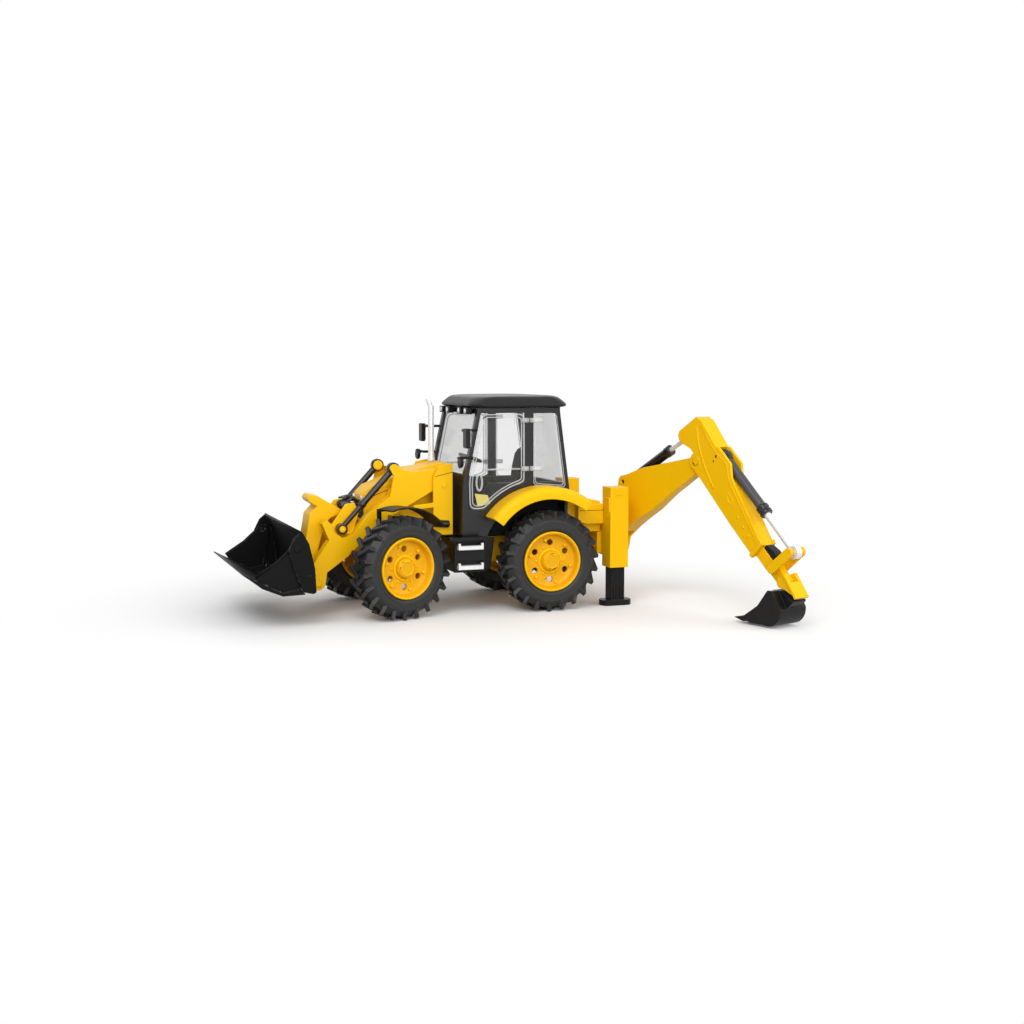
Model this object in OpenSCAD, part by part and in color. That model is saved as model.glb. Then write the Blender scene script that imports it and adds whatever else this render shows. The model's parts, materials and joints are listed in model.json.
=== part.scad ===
// Toy backhoe loader at about 1:16, in millimetres.
// Origin on the floor under the rear axle, +X forward, +Y to the left, +Z up.

/* [Wheels] */
// Radius of a wheel over the tips of its lugs
wheel_r = 44.8; // [42:0.1:46]
// Width of a tyre
tyre_w = 26; // [24:0.5:27]
// Radius of the rim at the bead
rim_r = 26.6; // [25:0.1:28]
// Distance between the axles
wheelbase = 139; // [134:1:146]
// Distance from the middle plane to a wheel's centre plane
wheel_y = 62.3; // [61:0.1:64]
// Angle of the front wheels, to the left
steer_rest = 18; // [14:1:19]
// Distance from the middle plane to a kingpin
kingpin_y = 52; // [51:0.1:53]
// Radius of the wheel stubs
stub_r = 3; // [2.5:0.1:3.4]
// Radius of the kingpins
kingpin_r = 2; // [1.5:0.1:2.4]
// Radial running clearance of shafts and pins
run_gap = 0.06; // [0.03:0.01:0.1]

/* [Cab] */
// Half of the cab's outside width
cab_half = 51; // [49.8:0.1:52]
// Thickness of the cab's walls
cab_wall = 3; // [2.5:0.1:3.5]
// Height of the cab's sill
sill_z = 66; // [64:0.5:68]
// Height of the top of the window frames
cab_top = 180; // [176:0.5:184]
// Thickness of the glazing
glass_t = 1.2; // [1:0.1:1.4]
// Height of the roof shell
roof_h = 11; // [9:0.5:12]

/* [Loader] */
// Half of the width of the front bucket
bucket_half = 81; // [70:0.5:84]
// Thickness of the bucket plates
bucket_t = 2.2; // [1.8:0.1:2.6]
// Distance from the middle plane to the middle of an arm
arm_y = 27; // [26:0.1:27.5]
// Overall width of one arm
arm_w = 12; // [10.5:0.1:12]
// Thickness of an arm's plates
arm_t = 2.6; // [2.2:0.1:3]

/* [Backhoe] */
// Angle of the arm at rest, to the left of straight back
slew_rest = 73; // [66:1:76]
// Distance of the slewing axis behind the rear axle
slew_x = 88; // [86:0.5:92]
// Overall width of the boom
boom_w = 18; // [17:0.2:20]
// Overall width of the dipper
dipper_w = 16; // [15:0.2:17]
// Width of the hoe bucket
hoe_w = 32; // [26:0.5:36]
// Thickness of the hoe arm's plates
hoe_t = 2.4; // [2:0.1:2.8]
// Radius of the pins in the arms
pin_r = 2.5; // [2:0.1:3]

/* [Stabilisers] */
// Width of a stabiliser housing
stab_w = 18; // [16:0.5:20]
// Wall of a stabiliser housing
stab_wall = 2; // [1.6:0.1:2.4]
// Length of a stabiliser foot
foot_len = 29; // [26:1:36]

/* [Hidden] */
$fn = 64;
fine = 96;
yellow = [0.98, 0.72, 0.02];
black = [0.09, 0.09, 0.09];
grey = [0.3, 0.3, 0.31];
silver = [0.78, 0.78, 0.8];
clear_plastic = [0.86, 0.9, 0.92, 0.35];
eps = 0.01;
gap = 0.3;

// Wheels and axles
axle_z = wheel_r;
axle_half = 5;
chassis_half = 20;
chassis_back = -56;
bead_gap = 0.05;
rim_wall = 2.4;
disc_t = 3;
disc_a = 3;
hub_r = 9;
hub_in = -1.5;
hub_out = 9;
hub_cap = 2;
bore_end = hub_out - 1;
rim_holes = 6;
rim_hole_r = 2.7;
rim_hole_at = 16.5;
shoulder_r = 6.5;
lugs = 22;
lug_h = 3.4;
lug_w = 3.6;
lug_a = 33;
lug_inset = 1.1;
shoulder_w = 5;
sidewall_r = wheel_r - 8.6;
lug_lead = tyre_w / 4 * tan(lug_a);
lug_top = sqrt(wheel_r * wheel_r - pow(lug_lead + lug_w / 2, 2));
stay_t = 2;
stay_at = wheel_y - kingpin_y - tyre_w / 2 - 1.6;

// Cab side outline, x and z
cab_back_x = -26;
cab_front_x = 76;
arch_r = 57;
fender_r = 66;
fender_t = 2.6;
fender_c = [2, 45];
fender_lip = 11;
fender_from = 37;
fender_to = 128;
guard_from = 74;
guard_to = 140;
fender_out = wheel_y + tyre_w / 2;
roof_z = cab_top + gap;
door_gap = 0.5;
door_over_fender = 4.5;
hinge_x = 17.5;
hinge_z = [126, 169];
hinge_h = 5;
handle_z = 108;
handle_h = 14;
floor_half = cab_half - 5;
console_z = 113;
deck_half = cab_half - 7;
wing_w = 8;
roof_x = -3;

// Loader side view, x and z
arm_pivot = [88, 120];
bucket_pivot = [201, 30];
clam_pivot = [228.5, 66.6];
lift_base = [88, 77];
lift_eye = [147, 84];
horn = [132, 127];
tilt_pin = [179, 76];
cross_tube = [168, 93.5];
arm_in = arm_y - arm_w / 2;
arm_out = arm_y + arm_w / 2;
tower_in = arm_out + 0.8;
tower_t = 2.6;
carrier_t = 2.6;
hood_half = arm_in - 0.8;
hood_front = wheelbase + 18;
step_front = wheelbase - 53;
step_back = 58;
step_z = [39.6, 57];
lever_half = 13;

// Backhoe side view, distance from the slewing axis and height
foot_pin = [13, 48];
nose_pin = [123.6, 133.8];
ram_base = [28.6, 109.8];
ram_top = [107.7, 155.4];
dipper_a = 43;
hoe_pin_h = -2.7;
slide_h = -2.7;
ram_h = 22.4;
lobe = [-26.4, 4.9];
eye_half = 3;
ram_base_l = 16;
rod_eye_l = 126.5;
hoe_pin_l = rod_eye_l + 11;
nose_r = 8;
nose_half = dipper_w / 2 - hoe_t - gap;
boom_wide_to = 40;
boom_slim_from = 86;
post_r = 6.2;
ears = [[46, 52], [66, 72]];

tongue = boom_w / 2 - hoe_t - gap;

// Stabilisers
stab_y = 57;
stab_x1 = -59.5;
stab_x0 = stab_x1 - stab_w;
stab_z0 = 35;
stab_z1 = 108;
leg_gap = 0.4;
deck_back = stab_x1 + gap;
foot_t = 5;

function arc(c, r, a0, a1, n) =
    [for (i = [0:n]) c + r * [cos(a0 + (a1 - a0) * i / n), sin(a0 + (a1 - a0) * i / n)]];

// A plate of a side-view outline, from y0 to y0 + t
module slab(points, y0, t) {
    translate([0, y0 + t, 0]) rotate([90, 0, 0]) linear_extrude(height = t) polygon(points);
}

// A round bar across the machine
module bar(at, r, y0, y1) {
    translate([at[0], y1, at[1]]) rotate([90, 0, 0]) cylinder(r = r, h = y1 - y0);
}

// A round bar between two points of a side view, in the middle plane y
module strut(p, q, r, y = 0) {
    d = q - p;
    translate([p[0], y, p[1]]) rotate([0, 90 - atan2(d[1], d[0]), 0]) cylinder(r = r, h = norm(d));
}

// A box by its corners
module block(lo, hi) {
    translate(lo) cube(hi - lo);
}

// Both sides of the machine
module both() {
    children();
    mirror([0, 1, 0]) children();
}

module side(s) {
    if (s > 0) children();
    else mirror([0, 1, 0]) children();
}

// A solid turned about the wheel's axle, radius and distance outwards
module turned(points) {
    rotate([-90, 0, 0]) rotate_extrude($fn = fine) polygon(points);
}

module at_rear_wheel(s) {
    side(s) translate([0, wheel_y, axle_z]) children();
}

// The left and right front wheels turn the same way
module at_kingpin(s) {
    translate([wheelbase, s * kingpin_y, axle_z]) rotate([0, 0, steer_rest]) side(s) children();
}

module at_front_wheel(s) {
    at_kingpin(s) translate([0, wheel_y - kingpin_y, 0]) children();
}

// The hoe arm's plane: x is the distance from the slewing axis
module arm_plane() {
    translate([-slew_x, 0, 0]) rotate([0, 0, 180 - slew_rest]) children();
}

// The dipper's own axes: x along the dipper from the boom's end, z across it
module dipper_plane() {
    arm_plane() translate([nose_pin[0], 0, nose_pin[1]]) rotate([0, dipper_a, 0]) children();
}

module rim() {
    half = tyre_w / 2 - 0.4;
    color(yellow) difference() {
        turned([[0, hub_in], [hub_r, hub_in], [hub_r, disc_a], [rim_r - rim_wall - 2, disc_a],
            [rim_r - rim_wall, disc_a - 3], [rim_r - rim_wall, -half], [rim_r, -half], [rim_r, half],
            [rim_r - rim_wall, half], [rim_r - rim_wall - 1.6, disc_a + disc_t + 1],
            [rim_r - rim_wall - 4, disc_a + disc_t], [hub_r, disc_a + disc_t], [hub_r, hub_out],
            [hub_r - 1.5, hub_out + hub_cap], [0, hub_out + hub_cap]]);
        rotate([-90, 0, 0]) translate([0, 0, hub_in - eps])
            cylinder(r = stub_r + run_gap, h = bore_end - hub_in);
        for (i = [0:rim_holes - 1]) rotate([0, (i + 0.5) * 360 / rim_holes, 0])
            translate([rim_hole_at, disc_a - 1, 0]) rotate([-90, 0, 0])
                cylinder(r = rim_hole_r, h = disc_t + 2);
    }
}

// One bar of the tread, from the middle of the tyre out over its shoulder, leaning forward
module lug() {
    rotate([0, 0, lug_a]) block([-lug_w / 2, -lug_w / 2, sidewall_r],
        [lug_w / 2, (tyre_w / 2 - lug_inset) / cos(lug_a), lug_top]);
}

module tyre() {
    half = tyre_w / 2;
    bead = rim_r + bead_gap;
    tread_r = wheel_r - lug_h;
    color(black) union() {
        turned([[bead, -half + 1.5], [bead + 3, -half], [sidewall_r, -half], [tread_r, -half + shoulder_w],
            [tread_r, half - shoulder_w], [sidewall_r, half], [bead + 3, half], [bead, half - 1.5]]);
        for (i = [0:lugs - 1]) {
            rotate([0, i * 360 / lugs, 0]) translate([lug_lead, 0, 0]) lug();
            rotate([0, (i + 0.5) * 360 / lugs, 0]) translate([lug_lead, 0, 0]) mirror([0, 1, 0]) lug();
        }
    }
}

module chassis() {
    color(yellow) union() {
        difference() {
            block([chassis_back, -chassis_half, 40], [hood_front, chassis_half, sill_z - gap]);
            block([wheelbase - axle_half - gap, -chassis_half - 1, 38],
                [wheelbase + axle_half + gap, chassis_half + 1, axle_z + axle_half + gap + 1]);
        }
        block([cab_front_x + 3.5, -hood_half, sill_z - 2], [hood_front, hood_half, 78]);
    }
}

module hood_outline(y0, t, drop = 0) {
    f = hood_front;
    back = cab_front_x + 3.5;
    slab([[back, 78.2], [back, 131 - drop], [92, 129.5 - drop], [f - 33, 121 - drop],
        [f - 7, 111 - drop], [f, 104 - drop], [f, 78.2]], y0, t);
}

module hood() {
    color(yellow) difference() {
        union() {
            hood_outline(-hood_half, 2 * hood_half, 4);
            hood_outline(-hood_half + 4, 2 * hood_half - 8);
        }
        block([hood_front - 5, -hood_half + 3, 82], [hood_front + 3, hood_half - 3, 98]);
        for (s = [-1, 1], i = [0:3]) translate([hood_front - 29 + i * 5, s * hood_half, 84])
            cube([2, 2, 14]);
    }
}

module front_grille() {
    color(black) difference() {
        block([hood_front - 5, -hood_half + 3, 82], [hood_front - 0.6, hood_half - 3, 98]);
        for (i = [0:4]) block([hood_front - 2.4, -hood_half + 8, 84 + i * 2.8],
            [hood_front + 1, hood_half - 8, 85.4 + i * 2.8]);
    }
}

module head_lamps() {
    color(silver) both() translate([hood_front, 13, 101]) rotate([0, 90, 0]) cylinder(r = 2.2, h = 1.4);
}

module loader_tower() {
    color(yellow) both() {
        slab([[cab_front_x + 4, 68], [cab_front_x + 4, 131.4], [93, 129], [98, 119], [98, 84], [106, 78],
            [106, 68]], tower_in, tower_t);
        bar(arm_pivot, pin_r, arm_in - 0.4, tower_in + eps);
        block([cab_front_x + 4, hood_half + gap, 68], [110, tower_in + eps, 71]);
        block([cab_front_x + 4, hood_half + gap, 68], [cab_front_x + 6, tower_in + eps, 110]);
        bar(lift_base, pin_r - 0.5, arm_in - 0.4, tower_in + eps);
        slab([[cab_front_x + 4, 94], [116, 91], [116, 95], [cab_front_x + 4, 98.5]], tower_in, tower_t);
    }
}

module exhaust() {
    color(silver) translate([85, -12, 131]) difference() {
        union() {
            cylinder(r = 2.7, h = 50);
            cylinder(r = 3.4, h = 3);
            translate([0, 0, 48]) rotate([0, 20, 0]) cylinder(r = 2.3, h = 9);
        }
        translate([0, 0, 48]) rotate([0, 20, 0]) translate([0, 0, 4]) cylinder(r = 1.6, h = 8);
    }
}

module cab_outline(y0, t) {
    slab([[cab_front_x, sill_z], [cab_front_x, 74], [74.6, 117], [61, cab_top], [-16, cab_top],
        [cab_back_x, 105], [cab_back_x, sill_z]], y0, t);
}

module cab_inside(y0, t) {
    w = cab_wall;
    slab([[cab_front_x - w, sill_z - 1], [cab_front_x - w, 74], [74.6 - w, 116], [61 - w, cab_top + 1],
        [-16 + w, cab_top + 1], [cab_back_x + w, 105], [cab_back_x + w, sill_z - 1]], y0, t);
}

module door_outline(y0, t, grow = 0) {
    g = grow;
    slab(concat([[56 - g, 91 - g], [69.5 + g, 91 - g], [70 + g, 117], [58 + g, 175 + g],
        [hinge_x - g, 175 + g], [hinge_x - g, 115 - g]],
        arc(fender_c, fender_r + door_over_fender - g, 73, 47, 6)), y0, t);
}

module quarter_window(y0, t, grow = 0) {
    g = grow;
    slab([[9 + g, 111 - g], [9 + g, 175 + g], [-13 - g, 175 + g], [-22.2 - g, 108 - g]], y0, t);
}

module cab_floor() {
    color(black) union() {
        block([48, -cab_half + cab_wall + gap, sill_z], [cab_front_x - cab_wall - gap,
            cab_half - cab_wall - gap, sill_z + 3]);
        block([cab_back_x + cab_wall + gap, -floor_half, sill_z], [48, floor_half, 88]);
        block([5, -18, 88], [32, 18, 97]);
        both() block([cab_back_x + 9, 33, 88 - eps], [48, floor_half, console_z]);
    }
}

module cab_frame() {
    color(black) difference() {
        cab_outline(-cab_half, 2 * cab_half);
        cab_inside(-cab_half + cab_wall, 2 * (cab_half - cab_wall));
        door_outline(-cab_half - 1, 2 * cab_half + 2, door_gap);
        quarter_window(-cab_half - 1, 2 * cab_half + 2);
        both() bar([0, axle_z], arch_r, floor_half + 0.5, cab_half + 1);
        block([55, -cab_half + 6, 122], [80, cab_half - 6, 175]);
        block([cab_back_x - 4, -cab_half + 6, 112], [-8, cab_half - 6, 175]);
    }
}

module cab_glass() {
    inset = 0.2;
    color(clear_plastic) {
        both() translate([0, cab_half - 2, 0]) quarter_window(0, glass_t, -inset);
        intersection() {
            difference() {
                cab_inside(-cab_half + 6 + inset, 2 * (cab_half - 6 - inset));
                translate([-glass_t, 0, 0]) cab_inside(-cab_half, 2 * cab_half);
            }
            block([40, -cab_half, 122 + inset], [80, cab_half, 175 - inset]);
        }
        intersection() {
            difference() {
                cab_inside(-cab_half + 6 + inset, 2 * (cab_half - 6 - inset));
                translate([glass_t, 0, 0]) cab_inside(-cab_half, 2 * cab_half);
            }
            block([-30, -cab_half, 112 + inset], [0, cab_half, 175 - inset]);
        }
    }
}

module roof_slice(z, h, grow) {
    side_y = cab_half + 1 + grow;
    translate([roof_x, 0, z]) linear_extrude(height = h) polygon([[-18 - grow, -side_y + 7],
        [-12 - grow, -side_y], [58 + grow, -side_y], [66 + grow, -side_y + 13],
        [66 + grow, side_y - 13], [58 + grow, side_y], [-12 - grow, side_y], [-18 - grow, side_y - 7]]);
}

module roof() {
    color(black) difference() {
        hull() {
            roof_slice(roof_z, 1, 0);
            roof_slice(roof_z + 3.5, 2.5, 3.2);
            roof_slice(roof_z + roof_h - 2, 2, -8);
        }
        translate([0, 0, -eps]) roof_slice(roof_z, 3, -5);
    }
}

module work_lamps() {
    color(black) both() {
        block([63, 30, roof_z - 6], [68, 40, roof_z - 0.2]);
        block([63, 12, roof_z - 6], [68, 22, roof_z - 0.2]);
        block([-21, 30, roof_z - 6], [-17.2, 40, roof_z - 0.2]);
    }
}

module mirrors() {
    color(black) both() {
        block([61.8, cab_half, 159.6], [77, cab_half + 2.4, 162]);
        block([74.6, cab_half, 159.6], [77, 66, 162]);
        block([75, 62, 146], [79, 72, 163]);
        block([67, cab_half, 135.6], [81, cab_half + 2.4, 138]);
        block([78.6, cab_half, 135.6], [81, 64, 138]);
        translate([82, 65, 134]) rotate([0, 90, 0]) cylinder(r = 5, h = 3, center = true);
    }
}

module seat() {
    color(black) union() {
        block([8, -13, 97.2], [32, 13, 105]);
        translate([8, 0, 103]) rotate([0, -10, 0]) block([-5, -12, 0], [2, 12, 34]);
        both() block([8, 13, 108], [26, 17, 112]);
        both() block([8, 12.5, 100], [13, 15, 110]);
    }
}

module steering_console() {
    color(black) union() {
        block([56, -10, sill_z + 3.2], [68, 10, 112]);
        strut([60, 110], [51.4, 133.5], 2.4);
        translate([51.4, 0, 133.5]) rotate([0, -20, 0]) {
            rotate_extrude($fn = fine) translate([10, 0]) circle(r = 1.4);
            cylinder(r = 2.6, h = 2.4, center = true);
            for (i = [0:2]) rotate([0, 0, i * 120 + 60]) translate([0, -1, -0.8]) cube([10, 2, 1.6]);
        }
    }
}

module fender_band(r0, r1, y0, t) {
    slab(concat(arc(fender_c, r1, fender_from, fender_to, 24),
        arc(fender_c, r0, fender_to, fender_from, 24)), y0, t);
}

module rear_fenders() {
    color(yellow) both() union() {
        fender_band(fender_r - fender_t, fender_r, cab_half + gap, fender_out - cab_half - gap);
        fender_band(fender_r - fender_lip, fender_r, fender_out - fender_t, fender_t);
    }
}

module side_steps() {
    color(black) both() union() {
        difference() {
            block([step_back, chassis_half + gap, 37], [step_front, 60, sill_z - gap]);
            for (z = step_z) block([step_back + 2, 56, z], [step_front - 1.5, 61, z + 7.6]);
        }
        block([step_back, 58, 65.2], [step_front + 6, 66, 68]);
        slab([[50, 38], [step_back + 0.5, 38], [step_back + 0.5, sill_z - gap], [46, sill_z - gap]],
            49, 2.4);
    }
}

module step_treads() {
    color(silver) both() for (z = step_z) {
        block([step_back + 3, 56.2, z + 0.2], [step_front - 2, 65, z + 3.4]);
        for (x = [step_back + 3, step_front - 4]) block([x, 62, z + 3], [x + 2, 65, z + 6]);
    }
}

module rear_deck() {
    color(yellow) union() {
        slab([[cab_back_x - gap, sill_z], [cab_back_x - gap, 100], [deck_back, 94], [deck_back, sill_z]],
            -deck_half, 2 * deck_half);
        both() slab([[-34, 77], [-34, 92], [deck_back, 92], [deck_back, 74], [-42, 74]],
            deck_half - eps, wing_w);
    }
}

module stab_housing() {
    difference() {
        block([stab_x0, stab_y - stab_w / 2, stab_z0], [stab_x1, stab_y + stab_w / 2, stab_z1]);
        block([stab_x0 + stab_wall, stab_y - stab_w / 2 + stab_wall, stab_z0 - 1],
            [stab_x1 - stab_wall, stab_y + stab_w / 2 - stab_wall, stab_z1 - 3]);
    }
}

module rear_frame() {
    color(yellow) union() {
        both() stab_housing();
        both() block([stab_x0, 12, 42], [stab_x0 + 8, stab_y - stab_w / 2 + eps, 88]);
        block([stab_x0, -13, 42], [stab_x0 + 8, 13, 88]);
        block([stab_x0 + 4, -44, 46], [chassis_back - gap, 44, sill_z - gap]);
        for (z = ears) difference() {
            union() {
                block([-slew_x, -post_r, z[0]], [stab_x0 + 1, post_r, z[1]]);
                translate([-slew_x, 0, z[0]]) cylinder(r = post_r, h = z[1] - z[0]);
            }
            translate([-slew_x, 0, z[0] - 1]) cylinder(r = 3 + run_gap, h = z[1] - z[0] + 2);
        }
    }
}

module front_axle() {
    color(yellow) difference() {
        union() {
            block([wheelbase - axle_half, -kingpin_y + 8, axle_z - 6],
                [wheelbase + axle_half, kingpin_y - 8, axle_z + 6]);
            both() for (z = [axle_z - 11, axle_z + 6.5]) {
                block([wheelbase - 5, kingpin_y - 12, z], [wheelbase + 5, kingpin_y, z + 4.5]);
                translate([wheelbase, kingpin_y, z]) cylinder(r = 5, h = 4.5);
            }
            both() block([wheelbase - 5, kingpin_y - 12, axle_z - 11],
                [wheelbase + 5, kingpin_y - 8, axle_z + 11]);
        }
        both() translate([wheelbase, kingpin_y, 0]) cylinder(r = kingpin_r + run_gap, h = 100);
    }
}

module rear_axle() {
    color(yellow) both() union() {
        bar([0, axle_z], shoulder_r, chassis_half, wheel_y + hub_in - gap);
        bar([0, axle_z], stub_r, chassis_half, wheel_y + bore_end - 1);
    }
}

module knuckle(s) {
    color(yellow) at_kingpin(s) union() {
        translate([0, 0, -6.2]) cylinder(r = 4.6, h = 12.4);
        translate([0, 0, -11]) cylinder(r = kingpin_r, h = 22);
        bar([0, 0], shoulder_r - 1, 0, wheel_y - kingpin_y + hub_in - gap);
        bar([0, 0], stub_r, 0, wheel_y - kingpin_y + bore_end - 1);
        block([0, stay_at, -2], [13, -1, 2]);
    }
}

module mudguard(s) {
    r = wheel_r + 6;
    t = 1.6;
    stay_y = stay_at - stay_t - wheel_y + kingpin_y;
    color(black) at_front_wheel(s) union() {
        slab(concat(arc([0, 0], r + t, guard_from, guard_to, 16),
            arc([0, 0], r, guard_to, guard_from, 16)), -11, 22);
        block([9, stay_y, -2], [13, stay_y + stay_t, r - 1]);
        block([9, stay_y, r - 3], [13, -9, r - 1]);
    }
}

module door(s) {
    color(clear_plastic) side(s) union() {
        difference() {
            door_outline(cab_half - 2.2, 2.2);
            door_outline(cab_half - 1, 2, -2.4);
        }
        for (z = hinge_z) translate([hinge_x, cab_half, z - hinge_h / 2]) {
            block([-4, gap, 0], [10, 2, hinge_h]);
            block([3, -1, 0], [10, 2, hinge_h]);
            translate([-4, 2, 0]) cylinder(r = 1.7, h = hinge_h);
        }
        block([60, cab_half - 1, handle_z], [63, cab_half + 2.4, handle_z + handle_h]);
        block([hinge_x + 8, cab_half - 1, hinge_z[0] - 1], [60, cab_half + 0.8, hinge_z[0] + 1]);
    }
}

module loader_arm_outline(y0, t) {
    slab(concat(arc(arm_pivot, 7, 250, 100, 6), [[112, 124.5], [124, 126]], arc(horn, 4.5, 110, 10, 5),
        [[133, 121], [136.5, 103], [157, 88], [170, 71], [179, 68.4], [186.5, 74], [188, 80], [193.5, 85]],
        [[197, 81], [191, 66.5], [205, 47]], arc(bucket_pivot, 6.5, 20, -180, 9),
        [[193, 39], [174.5, 52], [160, 66], [150, 76], [128, 90]]), y0, t);
}

module loader_arms() {
    room = arm_w - 2 * arm_t;
    color(yellow) difference() {
        union() {
            both() difference() {
                loader_arm_outline(arm_in, arm_w);
                slab([[126, 145], [124, 122], [124, 111], [150, 90], [160, 118], [146, 145]],
                    arm_in + arm_t, room);
                slab([[118, 119], [124, 140], [150, 140], [166, 88], [138, 107]],
                    arm_in - 1, arm_t + 1 + eps);
                slab([[110, 66], [110, 90], [138, 93], [154, 88], [160, 78], [164, 60]],
                    arm_in + arm_t, room);
            }
            bar(cross_tube, 3.2, -arm_in - eps, arm_in + eps);
            both() slab([[168, 70], [162, 90], [166, 98], [174, 97], [186, 80], [188, 72]],
                arm_in, arm_t - gap);
            both() bar(tilt_pin, pin_r - 0.3, arm_in, arm_out);
        }
        both() bar(arm_pivot, pin_r + run_gap, arm_in - 1, arm_out + 1);
        both() bar(bucket_pivot, pin_r + run_gap, arm_in - 1, arm_out + 1);
    }
}

module tilt_cylinders() {
    room = arm_w - 2 * arm_t - 2 * gap;
    color(black) both() difference() {
        union() {
            strut(horn, tilt_pin, 2.2, arm_y);
            strut(horn, horn + (tilt_pin - horn) * 0.62, room / 2 - 0.2, arm_y);
            bar(horn, 4.6, arm_y - room / 2, arm_y + room / 2);
            bar(tilt_pin, 4.6, arm_y - room / 2, arm_out - gap);
        }
        bar(tilt_pin, pin_r - 0.3 + run_gap, arm_in, arm_out + 1);
    }
}

lift_dir = (lift_eye - lift_base) / norm(lift_eye - lift_base);
lift_len = norm(lift_eye - lift_base);
lift_barrel_len = 47.5;
lift_rod_r = 1.7;
lift_w = 6;

module lift_barrels() {
    color(black) both() difference() {
        union() {
            strut(lift_base, lift_base + lift_dir * lift_barrel_len, 3.4, arm_y);
            bar(lift_base, 4, arm_y - lift_w / 2, arm_y + lift_w / 2);
        }
        bar(lift_base, pin_r - 0.5 + run_gap, arm_y - lift_w, arm_y + lift_w);
        strut(lift_base + lift_dir * 6, lift_eye, lift_rod_r + run_gap, arm_y);
    }
}

module lift_rods() {
    color(silver) both() difference() {
        union() {
            strut(lift_base + lift_dir * 14, lift_eye, lift_rod_r, arm_y);
            bar(lift_eye, 3.4, arm_y - lift_w / 2 + 0.5, arm_y + lift_w / 2 - 0.5);
        }
        bar(lift_eye, pin_r - 0.5 + run_gap, arm_y - lift_w, arm_y + lift_w);
    }
}

module bucket_carrier() {
    color(yellow) union() {
        slab(concat([[175, 91], [196.6, 104.2], [203, 105], [205, 102], [204, 99], [197, 94.5], [203.5, 88],
            [208, 62]], arc(bucket_pivot, 9, 40, -180, 12),
            [[199, 47], [190.5, 77], [185.3, 84], [176.5, 87.3]]),
            -lever_half, 2 * lever_half);
        bar(bucket_pivot, pin_r, -arm_out - 0.6, arm_out + 0.6);
    }
}

module bucket_back() {
    h = bucket_half;
    color(black) union() {
        slab([[213, 30], [215.5, 28.6], [226, 31], [226, 33.4], [215.6, 31.6], [216.5, 50], [221, 70],
            [226.3, 79.8], [224, 80], [218.6, 70.6], [214, 50]], -h, 2 * h);
        both() slab([[213.2, 30.4], [225, 32.8], [232, 50], [236, 66], [231, 76], [226.3, 79.8], [224, 80],
            [218.6, 70.6], [214, 50]], h - bucket_t, bucket_t);
        both() slab([[205, 27], [207, 23], [217, 27.5], [217, 56], [213, 58], [205, 42]],
            lever_half, carrier_t);
        both() bar(clam_pivot, pin_r - 0.5, h - 2 * bucket_t - gap, h - bucket_t + eps);
    }
}

module bucket_clam() {
    h = bucket_half - bucket_t - gap;
    color(black) difference() {
        union() {
            slab([[222.4, 28.5], [241, 28], [258, 35], [273.4, 47.1], [256, 38.6], [241, 30.6], [228, 33.4],
                [227, 30.8], [222.4, 29.7]], -bucket_half, 2 * bucket_half);
            both() slab([[229, 33.4], [241, 30], [258, 36], [263, 45], [246, 56], [235, 66], [233, 70],
                [225, 71], [222.8, 64]], h - bucket_t, bucket_t);
        }
        both() bar(clam_pivot, pin_r - 0.5 + run_gap, h - bucket_t - 1, h + 1);
    }
}

module kingpost() {
    color(yellow) arm_plane() difference() {
        union() {
            translate([0, 0, ears[0][1] + gap]) cylinder(r = post_r, h = ears[1][0] - ears[0][1] - 2 * gap);
            translate([0, 0, ears[0][0]]) cylinder(r = 3, h = ears[1][1] - ears[0][0]);
            slab(concat([[0, ears[0][1] + gap], [0, ears[1][0] - gap], [10, ears[1][0] - gap], [18, 56]],
                arc(foot_pin, 6.2, 40, -180, 10), [[post_r + 0.6, ears[0][1] + gap]]), -tongue, 2 * tongue);
        }
        bar(foot_pin, pin_r + run_gap, -boom_w, boom_w);
    }
}

module boom_outline(y0, t) {
    slab(concat(arc(foot_pin, 6.5, 200, 340, 6), [[22, 57], [36, 68], [47, 75], [67, 86.5], [90, 103]],
        arc(nose_pin, nose_r, -60, 80, 6), [[115, 136.5], [55, 124.5], [34, 117]],
        arc(ram_base, 6, 90, 180, 4), [[21, 96], [15.5, 72], [12, 60]]), y0, t);
}

// The boom narrows towards its end, which goes between the dipper's plates
module boom() {
    inner = boom_w / 2 - hoe_t;
    h = boom_w / 2;
    ram_room = ram_r + 0.6 + gap;
    color(yellow) arm_plane() union() {
        difference() {
            intersection() {
                boom_outline(-h, boom_w);
                linear_extrude(height = 200) polygon([[0, -h], [boom_wide_to, -h],
                    [boom_slim_from, -nose_half], [140, -nose_half], [140, nose_half],
                    [boom_slim_from, nose_half], [boom_wide_to, h], [0, h]]);
            }
            slab([[10, 125], [10, 92], [36, 92], [74, 116], [84, 150], [40, 150]], -ram_room, 2 * ram_room);
            slab([[0, 30], [0, 78], [20, 78], [30, 62], [30, 30]], -inner, 2 * inner);
            bar(ram_base, pin_r - 0.5 + run_gap, -boom_w, boom_w);
            bar(nose_pin, pin_r + run_gap, -boom_w, boom_w);
        }
        bar(foot_pin, pin_r, -inner - eps, inner + eps);
    }
}

ram_dir = (ram_top - ram_base) / norm(ram_top - ram_base);
ram_len = norm(ram_top - ram_base);
ram_barrel_len = 64;
ram_r = 4.4;
ram_rod_r = 2.2;

module dipper_barrel() {
    color(black) arm_plane() difference() {
        union() {
            strut(ram_base, ram_base + ram_dir * ram_barrel_len, ram_r);
            strut(ram_base + ram_dir * (ram_barrel_len - 6), ram_base + ram_dir * ram_barrel_len,
                ram_r + 0.6);
            bar(ram_base, 4.8, -4, 4);
            bar(ram_base, pin_r - 0.5, -boom_w / 2 + 1.4, boom_w / 2 - 1.4);
        }
        strut(ram_base + ram_dir * 8, ram_top, ram_rod_r + run_gap);
    }
}

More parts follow.
